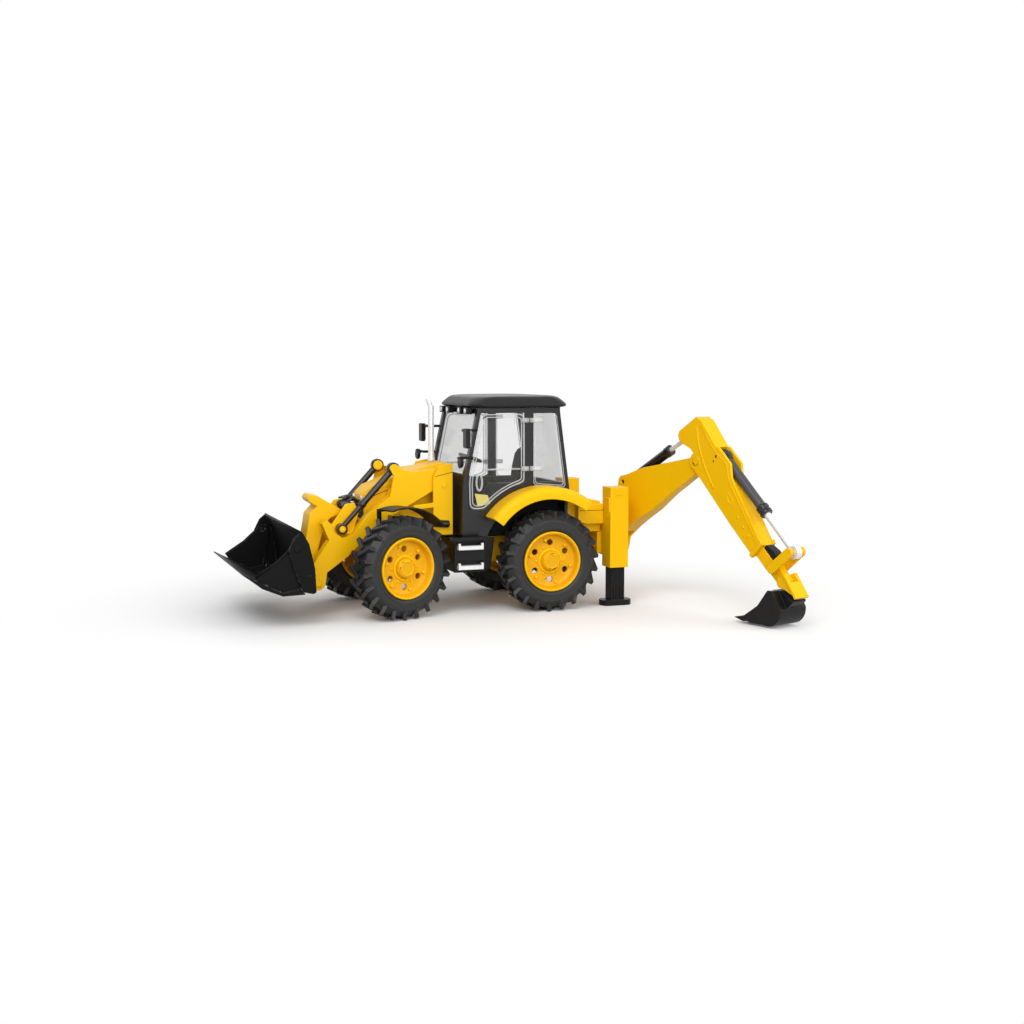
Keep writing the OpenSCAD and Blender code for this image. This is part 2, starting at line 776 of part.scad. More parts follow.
module dipper_rod() {
    color(silver) arm_plane() union() {
        strut(ram_base + ram_dir * 34, ram_top, ram_rod_r);
        bar(ram_top, 3.6, -eye_half, eye_half);
    }
}

module dipper_outline(y0, t) {
    slab(concat(arc(lobe, 7, 190, 285, 5), [[-13, 2.5], [-7.5, 2.5]], arc([0, 0], nose_r, 162, 270, 8),
        [[13, -7.6], [66, -9.8], [103, -9.8], [103, 4.6], [40, 20], [30, 28], [10, 28], [8, 26],
        [-20, 30], [-27, 28]]), y0, t);
}

module dipper() {
    half = dipper_w / 2;
    ext = half - hoe_t - gap;
    in = half - hoe_t;
    color(yellow) dipper_plane() union() {
        difference() {
            dipper_outline(-half, dipper_w);
            bar([0, 0], nose_r + 0.8, -in, in);
            slab([[8.5, 5.5], [21.5, -9], [21.5, -14], [-14, -14], [-14, 0.5], [-8, 1.5]], -in, 2 * in);
            block([20, -ext - 0.2, slide_h - 5.7], [110, ext + 0.2, slide_h + 5.7]);
            slab([[9, 40], [9, barrel_floor], [60, barrel_floor], [60, 40]], -half + 2.6, dipper_w - 5.2);
            slab([[-50, -30], [-50, 17], [-16, 17], [-15, 2], [-11, -30]], -half + 2.6, dipper_w - 5.2);
        }
        bar([0, 0], pin_r, -in - eps, in + eps);
        both() bar([0, 0], 4, half - eps, half + 0.8);
        both() bar(lobe, pin_r - 0.5, eye_half + gap, half);
        both() slab([[99, -11], [103, -11], [103, 6], [99, 7]], in - eps, hoe_t + 1);
    }
}

barrel_r = 4.2;
barrel_floor = ram_h - barrel_r - 1.4;
barrel_end = 84;
rod_r = 3.1;

module bucket_barrel() {
    color(grey) dipper_plane() difference() {
        union() {
            translate([ram_base_l, 0, ram_h]) rotate([0, 90, 0])
                cylinder(r = barrel_r, h = barrel_end - ram_base_l);
            translate([barrel_end - 7, 0, ram_h]) rotate([0, 90, 0]) cylinder(r = barrel_r + 0.8, h = 7);
            bar([ram_base_l, ram_h], barrel_r + 0.4, -4.8, 4.8);
        }
        translate([ram_base_l + 7, 0, ram_h]) rotate([0, 90, 0]) cylinder(r = rod_r + run_gap, h = 100);
    }
}

module bucket_rod() {
    color(silver) dipper_plane() union() {
        translate([ram_base_l + 24, 0, ram_h]) rotate([0, 90, 0])
            cylinder(r = rod_r, h = rod_eye_l - ram_base_l - 24);
        bar([rod_eye_l, ram_h], 5.6, -eye_half, eye_half);
    }
}

link_base = [rod_eye_l - 3, slide_h + 1.5];
end_half = 3.6;
hitch_t = 2.4;
link_in = end_half + gap + hitch_t + gap;

module dipper_extension() {
    half = dipper_w / 2;
    ext = half - hoe_t - gap;
    color(yellow) dipper_plane() difference() {
        union() {
            block([22, -ext, slide_h - 5.4], [120, ext, slide_h + 5.4]);
            slab(concat([[119, slide_h - 5.4]], arc([hoe_pin_l, hoe_pin_h], 5.4, -90, 90, 8),
                [[119, slide_h + 5.4]]), -end_half, 2 * end_half);
        }
        bar([hoe_pin_l, hoe_pin_h], pin_r + run_gap, -half, half);
        bar(link_base, pin_r - 0.5 + run_gap, -half, half);
    }
}

module tipping_link() {
    color(yellow) dipper_plane() union() {
        both() slab(concat(arc(link_base, 4.2, 180, 360, 6), arc([rod_eye_l, ram_h], 4.2, 0, 180, 6)),
            link_in, hitch_t);
        bar(link_base, pin_r - 0.5, -link_in - eps, link_in + eps);
        both() bar([rod_eye_l, ram_h], pin_r - 0.5, eye_half + gap, link_in + eps);
    }
}

hoe_pin = nose_pin + [hoe_pin_l * cos(dipper_a) + hoe_pin_h * sin(dipper_a),
    -hoe_pin_l * sin(dipper_a) + hoe_pin_h * cos(dipper_a)];

hitch_half = 8;
teeth = 4;
tooth_w = 4;

module at_hoe_pin() {
    arm_plane() translate([hoe_pin[0], 0, hoe_pin[1]]) children();
}

module quick_hitch() {
    beside = end_half + gap;
    color(yellow) at_hoe_pin() union() {
        both() slab(concat(arc([0, 0], 4.8, 120, 240, 6), [[4, -5.5], [16.5, -11], [18.2, -9], [4, 7.5]]),
            beside, hitch_t);
        both() slab([[2.6, 6.6], [7.6, 0], [9.6, 1.4], [4.6, 8]], beside, hitch_half - beside);
        slab([[7.4, 0.2], [16.5, -12], [18.6, -10.6], [9.4, 1.6]], -hitch_half, 2 * hitch_half);
        bar([0, 0], pin_r, -beside - eps, beside + eps);
    }
}

module hoe_bucket() {
    h = hoe_w / 2;
    t = 2;
    c = [-5.3, -22.4];
    outer = concat([[-36, -33.4], [-24, -36]], arc(c, 14, 255, 365, 12));
    inner = concat([[-42, -30], [-23, -33.6]], arc(c, 11.8, 256, 365, 12));
    color(black) at_hoe_pin() union() {
        difference() {
            slab(concat(outer, [[-0.8, -6.4], [-6.3, -6.4], [-17, -20.5]]), -h, hoe_w);
            slab(concat(inner, [[-2.4, -8.6], [-8, -4], [-30, -10]]), -h + t, hoe_w - 2 * t);
        }
        slab([[-6.3, -6.4], [3.6, -6.4], [15.5, -13.6], [14, -16], [7.6, -21], [-0.8, -8.4]],
            -hitch_half, 2 * hitch_half);
        for (i = [0:teeth - 1]) slab([[-43.4, -33.4], [-32, -36], [-28, -33.6], [-35, -31.4]],
            -h + i * (hoe_w - tooth_w) / (teeth - 1), tooth_w);
    }
}

module leg(s) {
    in = stab_w / 2 - stab_wall - leg_gap;
    cx = (stab_x0 + stab_x1) / 2;
    color(black) side(s) union() {
        block([cx - in, stab_y - in, foot_t - 1], [cx + in, stab_y + in, stab_z1 - 34]);
        translate([cx, stab_y, 0]) linear_extrude(height = foot_t) polygon(concat(
            arc([foot_len / 2 - 9, 0], 9.5, -60, 60, 8), arc([-foot_len / 2 + 9, 0], 9.5, 120, 240, 8)));
    }
}

chassis();
hood();
front_grille();
head_lamps();
loader_tower();
exhaust();
cab_floor();
cab_frame();
cab_glass();
roof();
work_lamps();
mirrors();
seat();
steering_console();
rear_fenders();
side_steps();
step_treads();
rear_deck();
rear_frame();
front_axle();
rear_axle();
door(1);  // door_left
door(-1);  // door_right
knuckle(1);  // knuckle_left
knuckle(-1);  // knuckle_right
mudguard(1);  // mudguard_left
mudguard(-1);  // mudguard_right
at_front_wheel(1) rim();  // rim_front_left
at_front_wheel(1) tyre();  // tyre_front_left
at_front_wheel(-1) rim();  // rim_front_right
at_front_wheel(-1) tyre();  // tyre_front_right
at_rear_wheel(1) rim();  // rim_rear_left
at_rear_wheel(1) tyre();  // tyre_rear_left
at_rear_wheel(-1) rim();  // rim_rear_right
at_rear_wheel(-1) tyre();  // tyre_rear_right
loader_arms();
tilt_cylinders();
lift_barrels();
lift_rods();
bucket_carrier();
bucket_back();
bucket_clam();
kingpost();
boom();
dipper_barrel();
dipper_rod();
dipper();
bucket_barrel();
dipper_extension();
bucket_rod();
tipping_link();
quick_hitch();
hoe_bucket();
leg(1);  // leg_left
leg(-1);  // leg_right
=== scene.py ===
"""Looks of a toy backhoe loader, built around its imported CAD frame."""

import json
import math

import bmesh
import bpy
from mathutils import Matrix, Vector


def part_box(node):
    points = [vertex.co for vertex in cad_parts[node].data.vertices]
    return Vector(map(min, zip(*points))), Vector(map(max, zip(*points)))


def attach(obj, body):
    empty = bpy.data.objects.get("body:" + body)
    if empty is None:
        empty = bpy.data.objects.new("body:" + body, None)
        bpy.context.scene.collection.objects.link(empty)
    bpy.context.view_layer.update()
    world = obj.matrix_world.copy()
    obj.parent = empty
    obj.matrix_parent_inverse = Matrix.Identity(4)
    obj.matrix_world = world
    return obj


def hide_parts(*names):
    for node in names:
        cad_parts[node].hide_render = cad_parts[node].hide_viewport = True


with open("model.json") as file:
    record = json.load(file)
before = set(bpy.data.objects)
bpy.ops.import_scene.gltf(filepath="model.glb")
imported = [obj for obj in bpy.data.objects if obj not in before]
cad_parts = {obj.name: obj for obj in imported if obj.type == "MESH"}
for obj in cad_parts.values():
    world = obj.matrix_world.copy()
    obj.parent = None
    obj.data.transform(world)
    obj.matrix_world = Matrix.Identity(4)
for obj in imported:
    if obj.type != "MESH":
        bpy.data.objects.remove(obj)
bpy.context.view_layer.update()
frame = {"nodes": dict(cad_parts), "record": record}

MM = 0.001

bl_info = {
    "name": "Toy backhoe loader",
    "version": (1, 0, 0),
    "blender": (4, 5, 0),
    "location": "View3D > Sidebar > Loader",
    "description": "Dresses the CAD frame of a toy backhoe loader",
    "category": "Object",
}


class LoaderColours(bpy.types.PropertyGroup):
    """Colours of the moulded plastics."""

    yellow: bpy.props.FloatVectorProperty(
        name="Yellow", description="Bodywork and arms", subtype="COLOR", default=(0.94, 0.525, 0.001))
    # The rims' own yellow, made darker and more orange to paint the shade that falls in the recessed wheel
    # dish.
    rim_painted_shade_yellow: bpy.props.FloatVectorProperty(
        name="Rim yellow with painted shade", description="Wheel rims", subtype="COLOR", default=(0.80, 0.40, 0.003))
    panel: bpy.props.FloatVectorProperty(
        name="Panel", description="Pale plate on the doors", subtype="COLOR", default=(0.62, 0.55, 0.16))
    black: bpy.props.FloatVectorProperty(
        name="Black", description="Cab, buckets and steps", subtype="COLOR", default=(0.006, 0.006, 0.0063))
    roof_black: bpy.props.FloatVectorProperty(
        name="Roof black", description="The roof's shell", subtype="COLOR", default=(0.022, 0.022, 0.023))
    rubber: bpy.props.FloatVectorProperty(
        name="Rubber", description="Tyres", subtype="COLOR", default=(0.014, 0.014, 0.0144))
    silver: bpy.props.FloatVectorProperty(
        name="Silver", description="Exhaust, rods and treads", subtype="COLOR", default=(0.80, 0.80, 0.81))
    barrel_grey: bpy.props.FloatVectorProperty(
        name="Barrel grey", description="Curl cylinder", subtype="COLOR", default=(0.055, 0.056, 0.060))
    lens: bpy.props.FloatVectorProperty(
        name="Lens", description="Lamp and mirror glass", subtype="COLOR", default=(0.75, 0.76, 0.78))


class LoaderSizes(bpy.types.PropertyGroup):
    """Roundings of the moulded edges, which only the looks need."""

    edge: bpy.props.FloatProperty(
        name="Edge", description="Most pieces", unit="LENGTH", default=0.35 * MM)
    thin_edge: bpy.props.FloatProperty(
        name="Thin edge", description="Thin pieces", unit="LENGTH", default=0.2 * MM)
    tyre_edge: bpy.props.FloatProperty(
        name="Tyre edge", description="Tyres and their lugs", unit="LENGTH", default=0.4 * MM)
    bucket_edge: bpy.props.FloatProperty(
        name="Bucket edge", description="Front bucket", unit="LENGTH", default=0.45 * MM)
    soft_edge: bpy.props.FloatProperty(
        name="Soft edge", description="Tower, loader arms, rims, legs and hoe bucket", unit="LENGTH",
        default=0.5 * MM)
    boom_edge: bpy.props.FloatProperty(
        name="Boom edge", description="Boom and dipper", unit="LENGTH", default=0.6 * MM)
    broad_edge: bpy.props.FloatProperty(
        name="Broad edge", description="Rear deck and bucket carrier", unit="LENGTH", default=0.8 * MM)
    floor_edge: bpy.props.FloatProperty(
        name="Floor edge", description="Floor of the cab", unit="LENGTH", default=1.0 * MM)
    mirror_edge: bpy.props.FloatProperty(
        name="Mirror edge", description="Mirrors", unit="LENGTH", default=1.1 * MM)
    hood_edge: bpy.props.FloatProperty(
        name="Hood edge", description="Hood", unit="LENGTH", default=1.3 * MM)


def colours():
    """The colours set in the sidebar."""
    return bpy.context.scene.loader_colours


def sizes():
    """The sizes set in the sidebar."""
    return bpy.context.scene.loader_sizes


# Shader node groups

COLOUR = "NodeSocketColor"
VALUE = "NodeSocketFloat"


def add_node(tree, kind, place, inputs=None, **settings):
    """A shader node at its place in a tree, with its settings and the values of its inputs."""
    node = tree.nodes.new("ShaderNode" + kind)
    node.location = place
    for key, value in settings.items():
        setattr(node, key, value)
    for key, value in (inputs or {}).items():
        node.inputs[key].default_value = value
    return node


def wire(tree, links):
    """Links in a tree, each from a node and its output to a node and its input."""
    for source, output, target, entry in links:
        tree.links.new(source.outputs[output], target.inputs[entry])


def new_group(name, inputs, outputs):
    """A shader group with its sockets, each a name, a type and a default."""
    group = bpy.data.node_groups.new(name, "ShaderNodeTree")
    for label, kind, default in inputs:
        socket = group.interface.new_socket(label, in_out="INPUT", socket_type=kind)
        socket.default_value = default
    for label, kind in outputs:
        group.interface.new_socket(label, in_out="OUTPUT", socket_type=kind)
    start = group.nodes.new("NodeGroupInput")
    start.location = (-900, 0)
    end = group.nodes.new("NodeGroupOutput")
    end.location = (700, 0)
    return group, start, end


def edge_wear_and_highlight_group():
    """Where an edge is sharp, paler by a broken line of rub marks, which also paint the highlights that
    sharp edges catch.
    """
    group, start, end = new_group(
        "edge_wear",
        [("Colour", COLOUR, (0.5, 0.5, 0.5, 1)), ("Worn", COLOUR, (0.8, 0.8, 0.8, 1)),
         ("Amount", VALUE, 0.5), ("Width", VALUE, 0.0006)],
        [("Colour", COLOUR), ("Mask", VALUE)])
    bevel = add_node(group, "Bevel", (-700, 100), samples=6)
    geometry = add_node(group, "NewGeometry", (-700, -100))
    facing = add_node(group, "VectorMath", (-500, 50), operation="DOT_PRODUCT")
    sharp = add_node(group, "MapRange", (-320, 50), {"From Min": 0.995, "From Max": 0.90})
    where = add_node(group, "TexCoord", (-900, -300))
    patches = add_node(group, "TexNoise", (-700, -300), {"Scale": 260, "Detail": 4})
    broken = add_node(group, "MapRange", (-500, -300), {"From Min": 0.42, "From Max": 0.66})
    both = add_node(group, "Math", (-120, 0), operation="MULTIPLY")
    scaled = add_node(group, "Math", (60, 0), operation="MULTIPLY")
    # The paler colour on sharp edges is partly rub marks and partly painted highlight.
    mix = add_node(group, "Mix", (300, 100), data_type="RGBA")
    wire(group, [
        (start, "Width", bevel, "Radius"), (bevel, "Normal", facing, 0), (geometry, "Normal", facing, 1),
        (facing, "Value", sharp, "Value"), (where, "Object", patches, "Vector"),
        (patches, "Fac", broken, "Value"), (sharp, "Result", both, 0), (broken, "Result", both, 1),
        (both, "Value", scaled, 0), (start, "Amount", scaled, 1), (scaled, "Value", mix, "Factor"),
        (start, "Colour", mix, "A"), (start, "Worn", mix, "B"), (mix, "Result", end, "Colour"),
        (scaled, "Value", end, "Mask"),
    ])
    return group


def moulded_grain_group():
    """The fine spark-eroded grain of moulded plastic, with slow changes of tone and gloss."""
    group, start, end = new_group(
        "moulded_grain",
        [("Colour", COLOUR, (0.5, 0.5, 0.5, 1)), ("Tone", VALUE, 0.06),
         ("Roughness", VALUE, 0.4), ("Spread", VALUE, 0.08),
         ("Scale", VALUE, 2600.0)],
        [("Colour", COLOUR), ("Roughness", VALUE), ("Height", VALUE)])
    where = add_node(group, "TexCoord", (-900, -200))
    slow = add_node(group, "TexNoise", (-700, 200), {"Scale": 28, "Detail": 5})
    fine = add_node(group, "TexNoise", (-700, -100), {"Detail": 3})
    smudge = add_node(group, "TexNoise", (-700, -350), {"Scale": 90, "Detail": 6})
    centred = add_node(group, "Math", (-500, 200), {1: 0.5}, operation="SUBTRACT")
    tone = add_node(group, "Math", (-320, 200), operation="MULTIPLY")
    value = add_node(group, "Math", (-150, 200), {1: 1.0}, operation="ADD")
    shade = add_node(group, "HueSaturation", (60, 200))
    off = add_node(group, "Math", (-500, -350), {1: 0.5}, operation="SUBTRACT")
    spread = add_node(group, "Math", (-320, -350), operation="MULTIPLY")
    rough = add_node(group, "Math", (-150, -350), operation="ADD")
    wire(group, [
        (where, "Object", slow, "Vector"), (where, "Object", fine, "Vector"),
        (where, "Object", smudge, "Vector"), (start, "Scale", fine, "Scale"), (slow, "Fac", centred, 0),
        (centred, "Value", tone, 0), (start, "Tone", tone, 1), (tone, "Value", value, 0),
        (value, "Value", shade, "Value"), (start, "Colour", shade, "Color"), (smudge, "Fac", off, 0),
        (off, "Value", spread, 0), (start, "Spread", spread, 1), (spread, "Value", rough, 0),
        (start, "Roughness", rough, 1), (shade, "Color", end, "Colour"), (rough, "Value", end, "Roughness"),
        (fine, "Fac", end, "Height"),
    ])
    return group


GROUPS = {}


def shared_group(name):
    """A node group, made when first asked for."""
    makers = {"edge_wear": edge_wear_and_highlight_group, "moulded_grain": moulded_grain_group}
    if name not in GROUPS:
        GROUPS[name] = makers[name]()
    return GROUPS[name]


# Materials

RELIEF_DEPTH = 0.1 * MM


def grained(name, colour, tone, rough, spread, scale, bump):
    """A material whose one Principled shader has the grain's gloss and relief."""
    made = bpy.data.materials.new(name)
    made.use_nodes = True
    tree = made.node_tree
    shader = tree.nodes["Principled BSDF"]
    values = {"Colour": (*colour, 1), "Tone": tone, "Roughness": rough, "Spread": spread, "Scale": scale}
    grain = add_node(tree, "Group", (-700, 0), values, node_tree=shared_group("moulded_grain"))
    relief = add_node(tree, "Bump", (-300, -250), {"Strength": bump, "Distance": RELIEF_DEPTH})
    wire(tree, [
        (grain, "Roughness", shader, "Roughness"), (grain, "Height", relief, "Height"),
        (relief, "Normal", shader, "Normal"),
    ])
    return made, shader, grain


def moulded(name, colour, rough, worn_and_highlit, wear_and_highlight=0.4, tone=0.25, spread=0.1, scale=2600, bump=0.06, metal=0.0,
            shine=0.3):
    """A moulded plastic: grain, slow tone and rubbed edges, whose paleness is partly painted edge highlight.
    """
    made, shader, grain = grained(name, colour, tone, rough, spread, scale, bump)
    tree = made.node_tree
    values = {"Worn": (*worn_and_highlit, 1), "Amount": wear_and_highlight}
    edges = add_node(tree, "Group", (-450, 150), values, node_tree=shared_group("edge_wear"))
    wire(tree, [
        (grain, "Colour", edges, "Colour"), (edges, "Colour", shader, "Base Color"),
    ])
    shader.inputs["Metallic"].default_value = metal
    shader.inputs["Specular IOR Level"].default_value = shine
    return made


def clear_plastic(name, tint, body, rim):
    """Clear moulded plastic, denser where it is seen edge on, with a faint haze of scratches."""
    made, shader, grain = grained(name, tint, tone=0.05, rough=0.08, spread=0.08, scale=500, bump=0.02)
    tree = made.node_tree
    view = add_node(tree, "LayerWeight", (-700, -400), {"Blend": 0.35})
    dense = add_node(tree, "MapRange", (-450, -400), {"To Min": body, "To Max": rim})
    wire(tree, [
        (grain, "Colour", shader, "Base Color"), (view, "Facing", dense, "Value"),
        (dense, "Result", shader, "Alpha"),
    ])
    return made


def plastics():
    """Every moulded finish: its material's name, colour and gloss, and how its edges wear and how pale their
    painted highlights are.
    """
    paint = colours()
    return {
        "yellow": dict(
            name="yellow_plastic", colour=paint.yellow, rough=0.38, worn_and_highlit=(1.0, 0.76, 0.10), tone=0.05,
            shine=0.14),
        # Rim yellow: darker and more orange than the bodywork, as painted shade in the recessed dish.
        "rim_painted_shade_yellow": dict(
            name="rim_yellow_plastic", colour=paint.rim_painted_shade_yellow, rough=0.34, worn_and_highlit=(0.98, 0.68, 0.06),
            tone=0.06, shine=0.2),
        "pale": dict(
            name="pale_panel", colour=paint.panel, rough=0.5, worn_and_highlit=(0.8, 0.75, 0.4), wear_and_highlight=0.2, tone=0.1),
        "black": dict(
            name="black_plastic", colour=paint.black, rough=0.40, worn_and_highlit=(0.13, 0.13, 0.135), wear_and_highlight=0.6,
            spread=0.12, shine=0.2),
        # Bucket black: pale grey edges at full strength, partly rub marks and partly painted highlights
        # along the moulded edges.
        "worn_and_highlit_black": dict(
            name="bucket_black_plastic", colour=paint.black, rough=0.44, worn_and_highlit=(0.34, 0.34, 0.345), wear_and_highlight=1.0,
            spread=0.14, shine=0.07),
        "roof_black": dict(
            name="roof_black_plastic", colour=paint.roof_black, rough=0.34, worn_and_highlit=(0.20, 0.20, 0.205),
            wear_and_highlight=0.6, tone=0.2, shine=0.12),
        "inner_black": dict(
            name="inner_black_plastic", colour=paint.black, rough=0.52, worn_and_highlit=(0.09, 0.09, 0.092),
            spread=0.12, shine=0.05),
        "gloss_black": dict(
            name="gloss_black_plastic", colour=paint.black, rough=0.26, worn_and_highlit=(0.10, 0.10, 0.105), tone=0.2,
            spread=0.08, shine=0.45),
        "rubber": dict(
            name="tyre_rubber", colour=paint.rubber, rough=0.46, worn_and_highlit=(0.14, 0.14, 0.14), wear_and_highlight=0.8,
            tone=0.3, spread=0.16, scale=1800, bump=0.12, shine=0.4),
        "silver": dict(
            name="silver_lacquer", colour=paint.silver, rough=0.26, worn_and_highlit=(0.9, 0.9, 0.9), wear_and_highlight=0.3,
            tone=0.06, spread=0.08, metal=0.3, shine=0.5),
        "grey": dict(
            name="barrel_grey", colour=paint.barrel_grey, rough=0.36, worn_and_highlit=(0.2, 0.2, 0.2), tone=0.15,
            shine=0.4),
        "lamp": dict(
            name="lamp_lens", colour=paint.lens, rough=0.12, worn_and_highlit=(0.9, 0.9, 0.9), wear_and_highlight=0.2, tone=0.05,
            spread=0.05, shine=0.6),
    }


CLEAR_PLASTICS = {
    "clear": dict(name="clear_plastic", tint=(0.34, 0.35, 0.355), body=0.05, rim=0.42),
    # The clear rims are pale white and dense, to paint the highlights that raised clear edges catch.
    "clear_rim_painted_highlight": dict(name="clear_rim_plastic", tint=(0.80, 0.82, 0.83), body=0.38, rim=0.85),
}

MATERIALS = {}


def material(finish):
    """The material of a finish, made when first asked for."""
    if finish not in MATERIALS:
        if finish in CLEAR_PLASTICS:
            MATERIALS[finish] = clear_plastic(**CLEAR_PLASTICS[finish])
        else:
            MATERIALS[finish] = moulded(**plastics()[finish])
    return MATERIALS[finish]


# Mesh helpers

SHARP = 32
SAME_PLACE = 0.002 * MM
SAME_PLANE = math.radians(0.6)


def body_of(node):
    """The body that a CAD node moves with."""
    for body, members in frame["record"]["behaviour"]["bodies"].items():
        if node in members:
            return body
    raise ValueError(f"no body holds {node}")


def new_piece(name, mesh, body, finish):
    """A mesh as a piece that rides on a body, with its finish."""
    piece = bpy.data.objects.new(name, mesh)
    bpy.context.scene.collection.objects.link(piece)
    mesh.materials.clear()
    mesh.materials.append(material(finish))
    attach(piece, body)
    return piece


def rounded(mesh, width, angle=SHARP, segments=2):
    """The same form with its sharp edges rounded and its flat faces kept flat."""
    work = bpy.data.objects.new("rounding", mesh)
    bpy.context.scene.collection.objects.link(work)
    bevel = work.modifiers.new("edge", "BEVEL")
    bevel.width = width
    bevel.segments = segments
    bevel.limit_method = "ANGLE"
    bevel.angle_limit = math.radians(angle)
    bevel.use_clamp_overlap = False
    bevel.harden_normals = False
    normals = work.modifiers.new("flat faces", "WEIGHTED_NORMAL")
    normals.keep_sharp = False
    normals.weight = 80
    graph = bpy.context.evaluated_depsgraph_get()
    result = bpy.data.meshes.new_from_object(work.evaluated_get(graph))
    bpy.data.objects.remove(work)
    return result


def node_mesh(node):
    """A copy of a CAD node's form with whole faces in place of its triangles."""
    mesh = frame["nodes"][node].data.copy()
    mesh.name = node + "_form"
    form = bmesh.new()
    form.from_mesh(mesh)
    bmesh.ops.remove_doubles(form, verts=form.verts, dist=SAME_PLACE)
    bmesh.ops.join_triangles(
        form, faces=form.faces, angle_face_threshold=SAME_PLANE, angle_shape_threshold=math.pi)
    for face in form.faces:
        face.smooth = True
    form.to_mesh(mesh)
    form.free()
    return mesh


def dress_node(node, finish, edge="edge", segments=2, angle=SHARP):
    """A node's own form with one of the moulded edges, standing for the node."""
    mesh = rounded(node_mesh(node), getattr(sizes(), edge), angle, segments)
    piece = new_piece(node + "_moulding", mesh, body_of(node), finish)
    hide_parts(node)
    return piece


# Places, written in millimetres and used in metres

SLEW_X = 88
SLEW_REST = math.radians(180 - 73)
BOOM_END = (123.6, 133.8)
DIPPER_SLOPE = math.radians(43)
STEER_REST = math.radians(18)
HANDS = (("left", 1), ("right", -1))


def machine(x, y, z):
    """A point of the machine: forward, to the left and up."""
    return Vector((x, y, z)) * MM


def side_line(points, y):
    """Points given by x and z, in a plane along the machine."""
    return [machine(x, y, z) for x, z in points]


def mirrored(points, hand):
    """Points of the machine's left side, or their mirror image on its right."""
    return [machine(x, hand * y, z) for x, y, z in points]


def arm_plane(away, across, up):
    """A point of the hoe arm's plane, by its distance from the slewing axis."""
    c, s = math.cos(SLEW_REST), math.sin(SLEW_REST)
    return machine(-SLEW_X + away * c - across * s, away * s + across * c, up)


def dipper_plane(along, across, up):
    """A point by the dipper's own axes, from the boom's end."""
    c, s = math.cos(DIPPER_SLOPE), math.sin(DIPPER_SLOPE)
    return arm_plane(BOOM_END[0] + along * c + up * s, across, BOOM_END[1] - along * s + up * c)


def dipper_line(points, across):
    """Points given along and up from the dipper's axis, in a plane beside it."""
    return [dipper_plane(along, across, up) for along, up in points]


def dipper_way(along, across):
    """A way along and across the dipper."""
    return dipper_plane(along, across, 0) - dipper_plane(0, 0, 0)


def angles(count):
    """A full turn in equal steps."""
    return [k * math.tau / count for k in range(count)]


# Meshes built from points

def shell(name, points, faces):
    """A mesh with outward, smooth faces."""
    mesh = bpy.data.meshes.new(name)
    mesh.from_pydata([tuple(point) for point in points], [], faces)
    form = bmesh.new()
    form.from_mesh(mesh)
    bmesh.ops.recalc_face_normals(form, faces=form.faces)
    for face in form.faces:
        face.smooth = True
    form.to_mesh(mesh)
    form.free()
    return mesh


def joined(name, meshes):
    """Several meshes as one."""
    form = bmesh.new()
    for mesh in meshes:
        form.from_mesh(mesh)
    whole = bpy.data.meshes.new(name)
    form.to_mesh(whole)
    form.free()
    return whole


def loft(name, rings, closed=False):
    """Skin over rings of as many points each, capped unless it closes on itself."""
    count = len(rings[0])
    points = [point for ring in rings for point in ring]
    faces = []
    turns = len(rings) if closed else len(rings) - 1
    for i in range(turns):
        a, b = i * count, (i + 1) % len(rings) * count
        faces += [(a + k, a + (k + 1) % count, b + (k + 1) % count, b + k) for k in range(count)]
    if not closed:
        faces.append(tuple(range(count - 1, -1, -1)))
        last = (len(rings) - 1) * count
        faces.append(tuple(last + k for k in range(count)))
    return shell(name, points, faces)


def tube(name, path, radius, closed=False, sides=10, flat=1.0, up=None):
    """A round rod along a path of points, or a flattened one across up."""
    rings = []
    count = len(path)
    side = None
    r = radius * MM
    for i, point in enumerate(path):
        before = path[i - 1] if i or closed else point
        after = path[(i + 1) % count] if i + 1 < count or closed else point
        ahead = (after - before).normalized()
        if up is not None:
            side = ahead.cross(up).normalized()
        elif side is None:
            side = ahead.orthogonal().normalized()
        else:
            side = (side - ahead * side.dot(ahead)).normalized()
        other = ahead.cross(side)
        rings.append([point + side * (r * math.cos(a)) + other * (r * flat * math.sin(a))
                      for a in angles(sides)])
    return loft(name, rings, closed)


def turned(name, centre, axis, profile, steps=48):
    """A solid of revolution from its radii and distances along the axis."""
    axis = axis.normalized()
    side = axis.orthogonal().normalized()
    other = axis.cross(side)
    rings = []
    for angle in angles(steps):
        out = side * math.cos(angle) + other * math.sin(angle)
        rings.append([centre + out * (r * MM) + axis * (d * MM) for r, d in profile])
    return loft(name, rings, closed=True)


def pin_head(centre, out, radius, sunk, shoulder, crown, edge, steps=28):
    """A round head, sunk in its plate, with a sloping edge from its shoulder to its crown."""
    profile = [(0, -sunk), (radius, -sunk), (radius, shoulder), (radius - edge, crown), (0, crown)]
    return turned("head", centre, out, profile, steps)


def sleeve(centre, axis, inner, outer, half, steps=24):
    """A plain ring, reaching half its length to each side of its centre."""
    profile = [(inner, -half), (outer, -half), (outer, half), (inner, half)]
    return turned("sleeve", centre, axis, profile, steps)


def prism(name, outline, thick, edge):
    """A plate from an outline of points and its thickness as a vector, with rounded edges."""
    rings = [outline, [point + thick for point in outline]]
    return rounded(loft(name, rings), edge * MM)


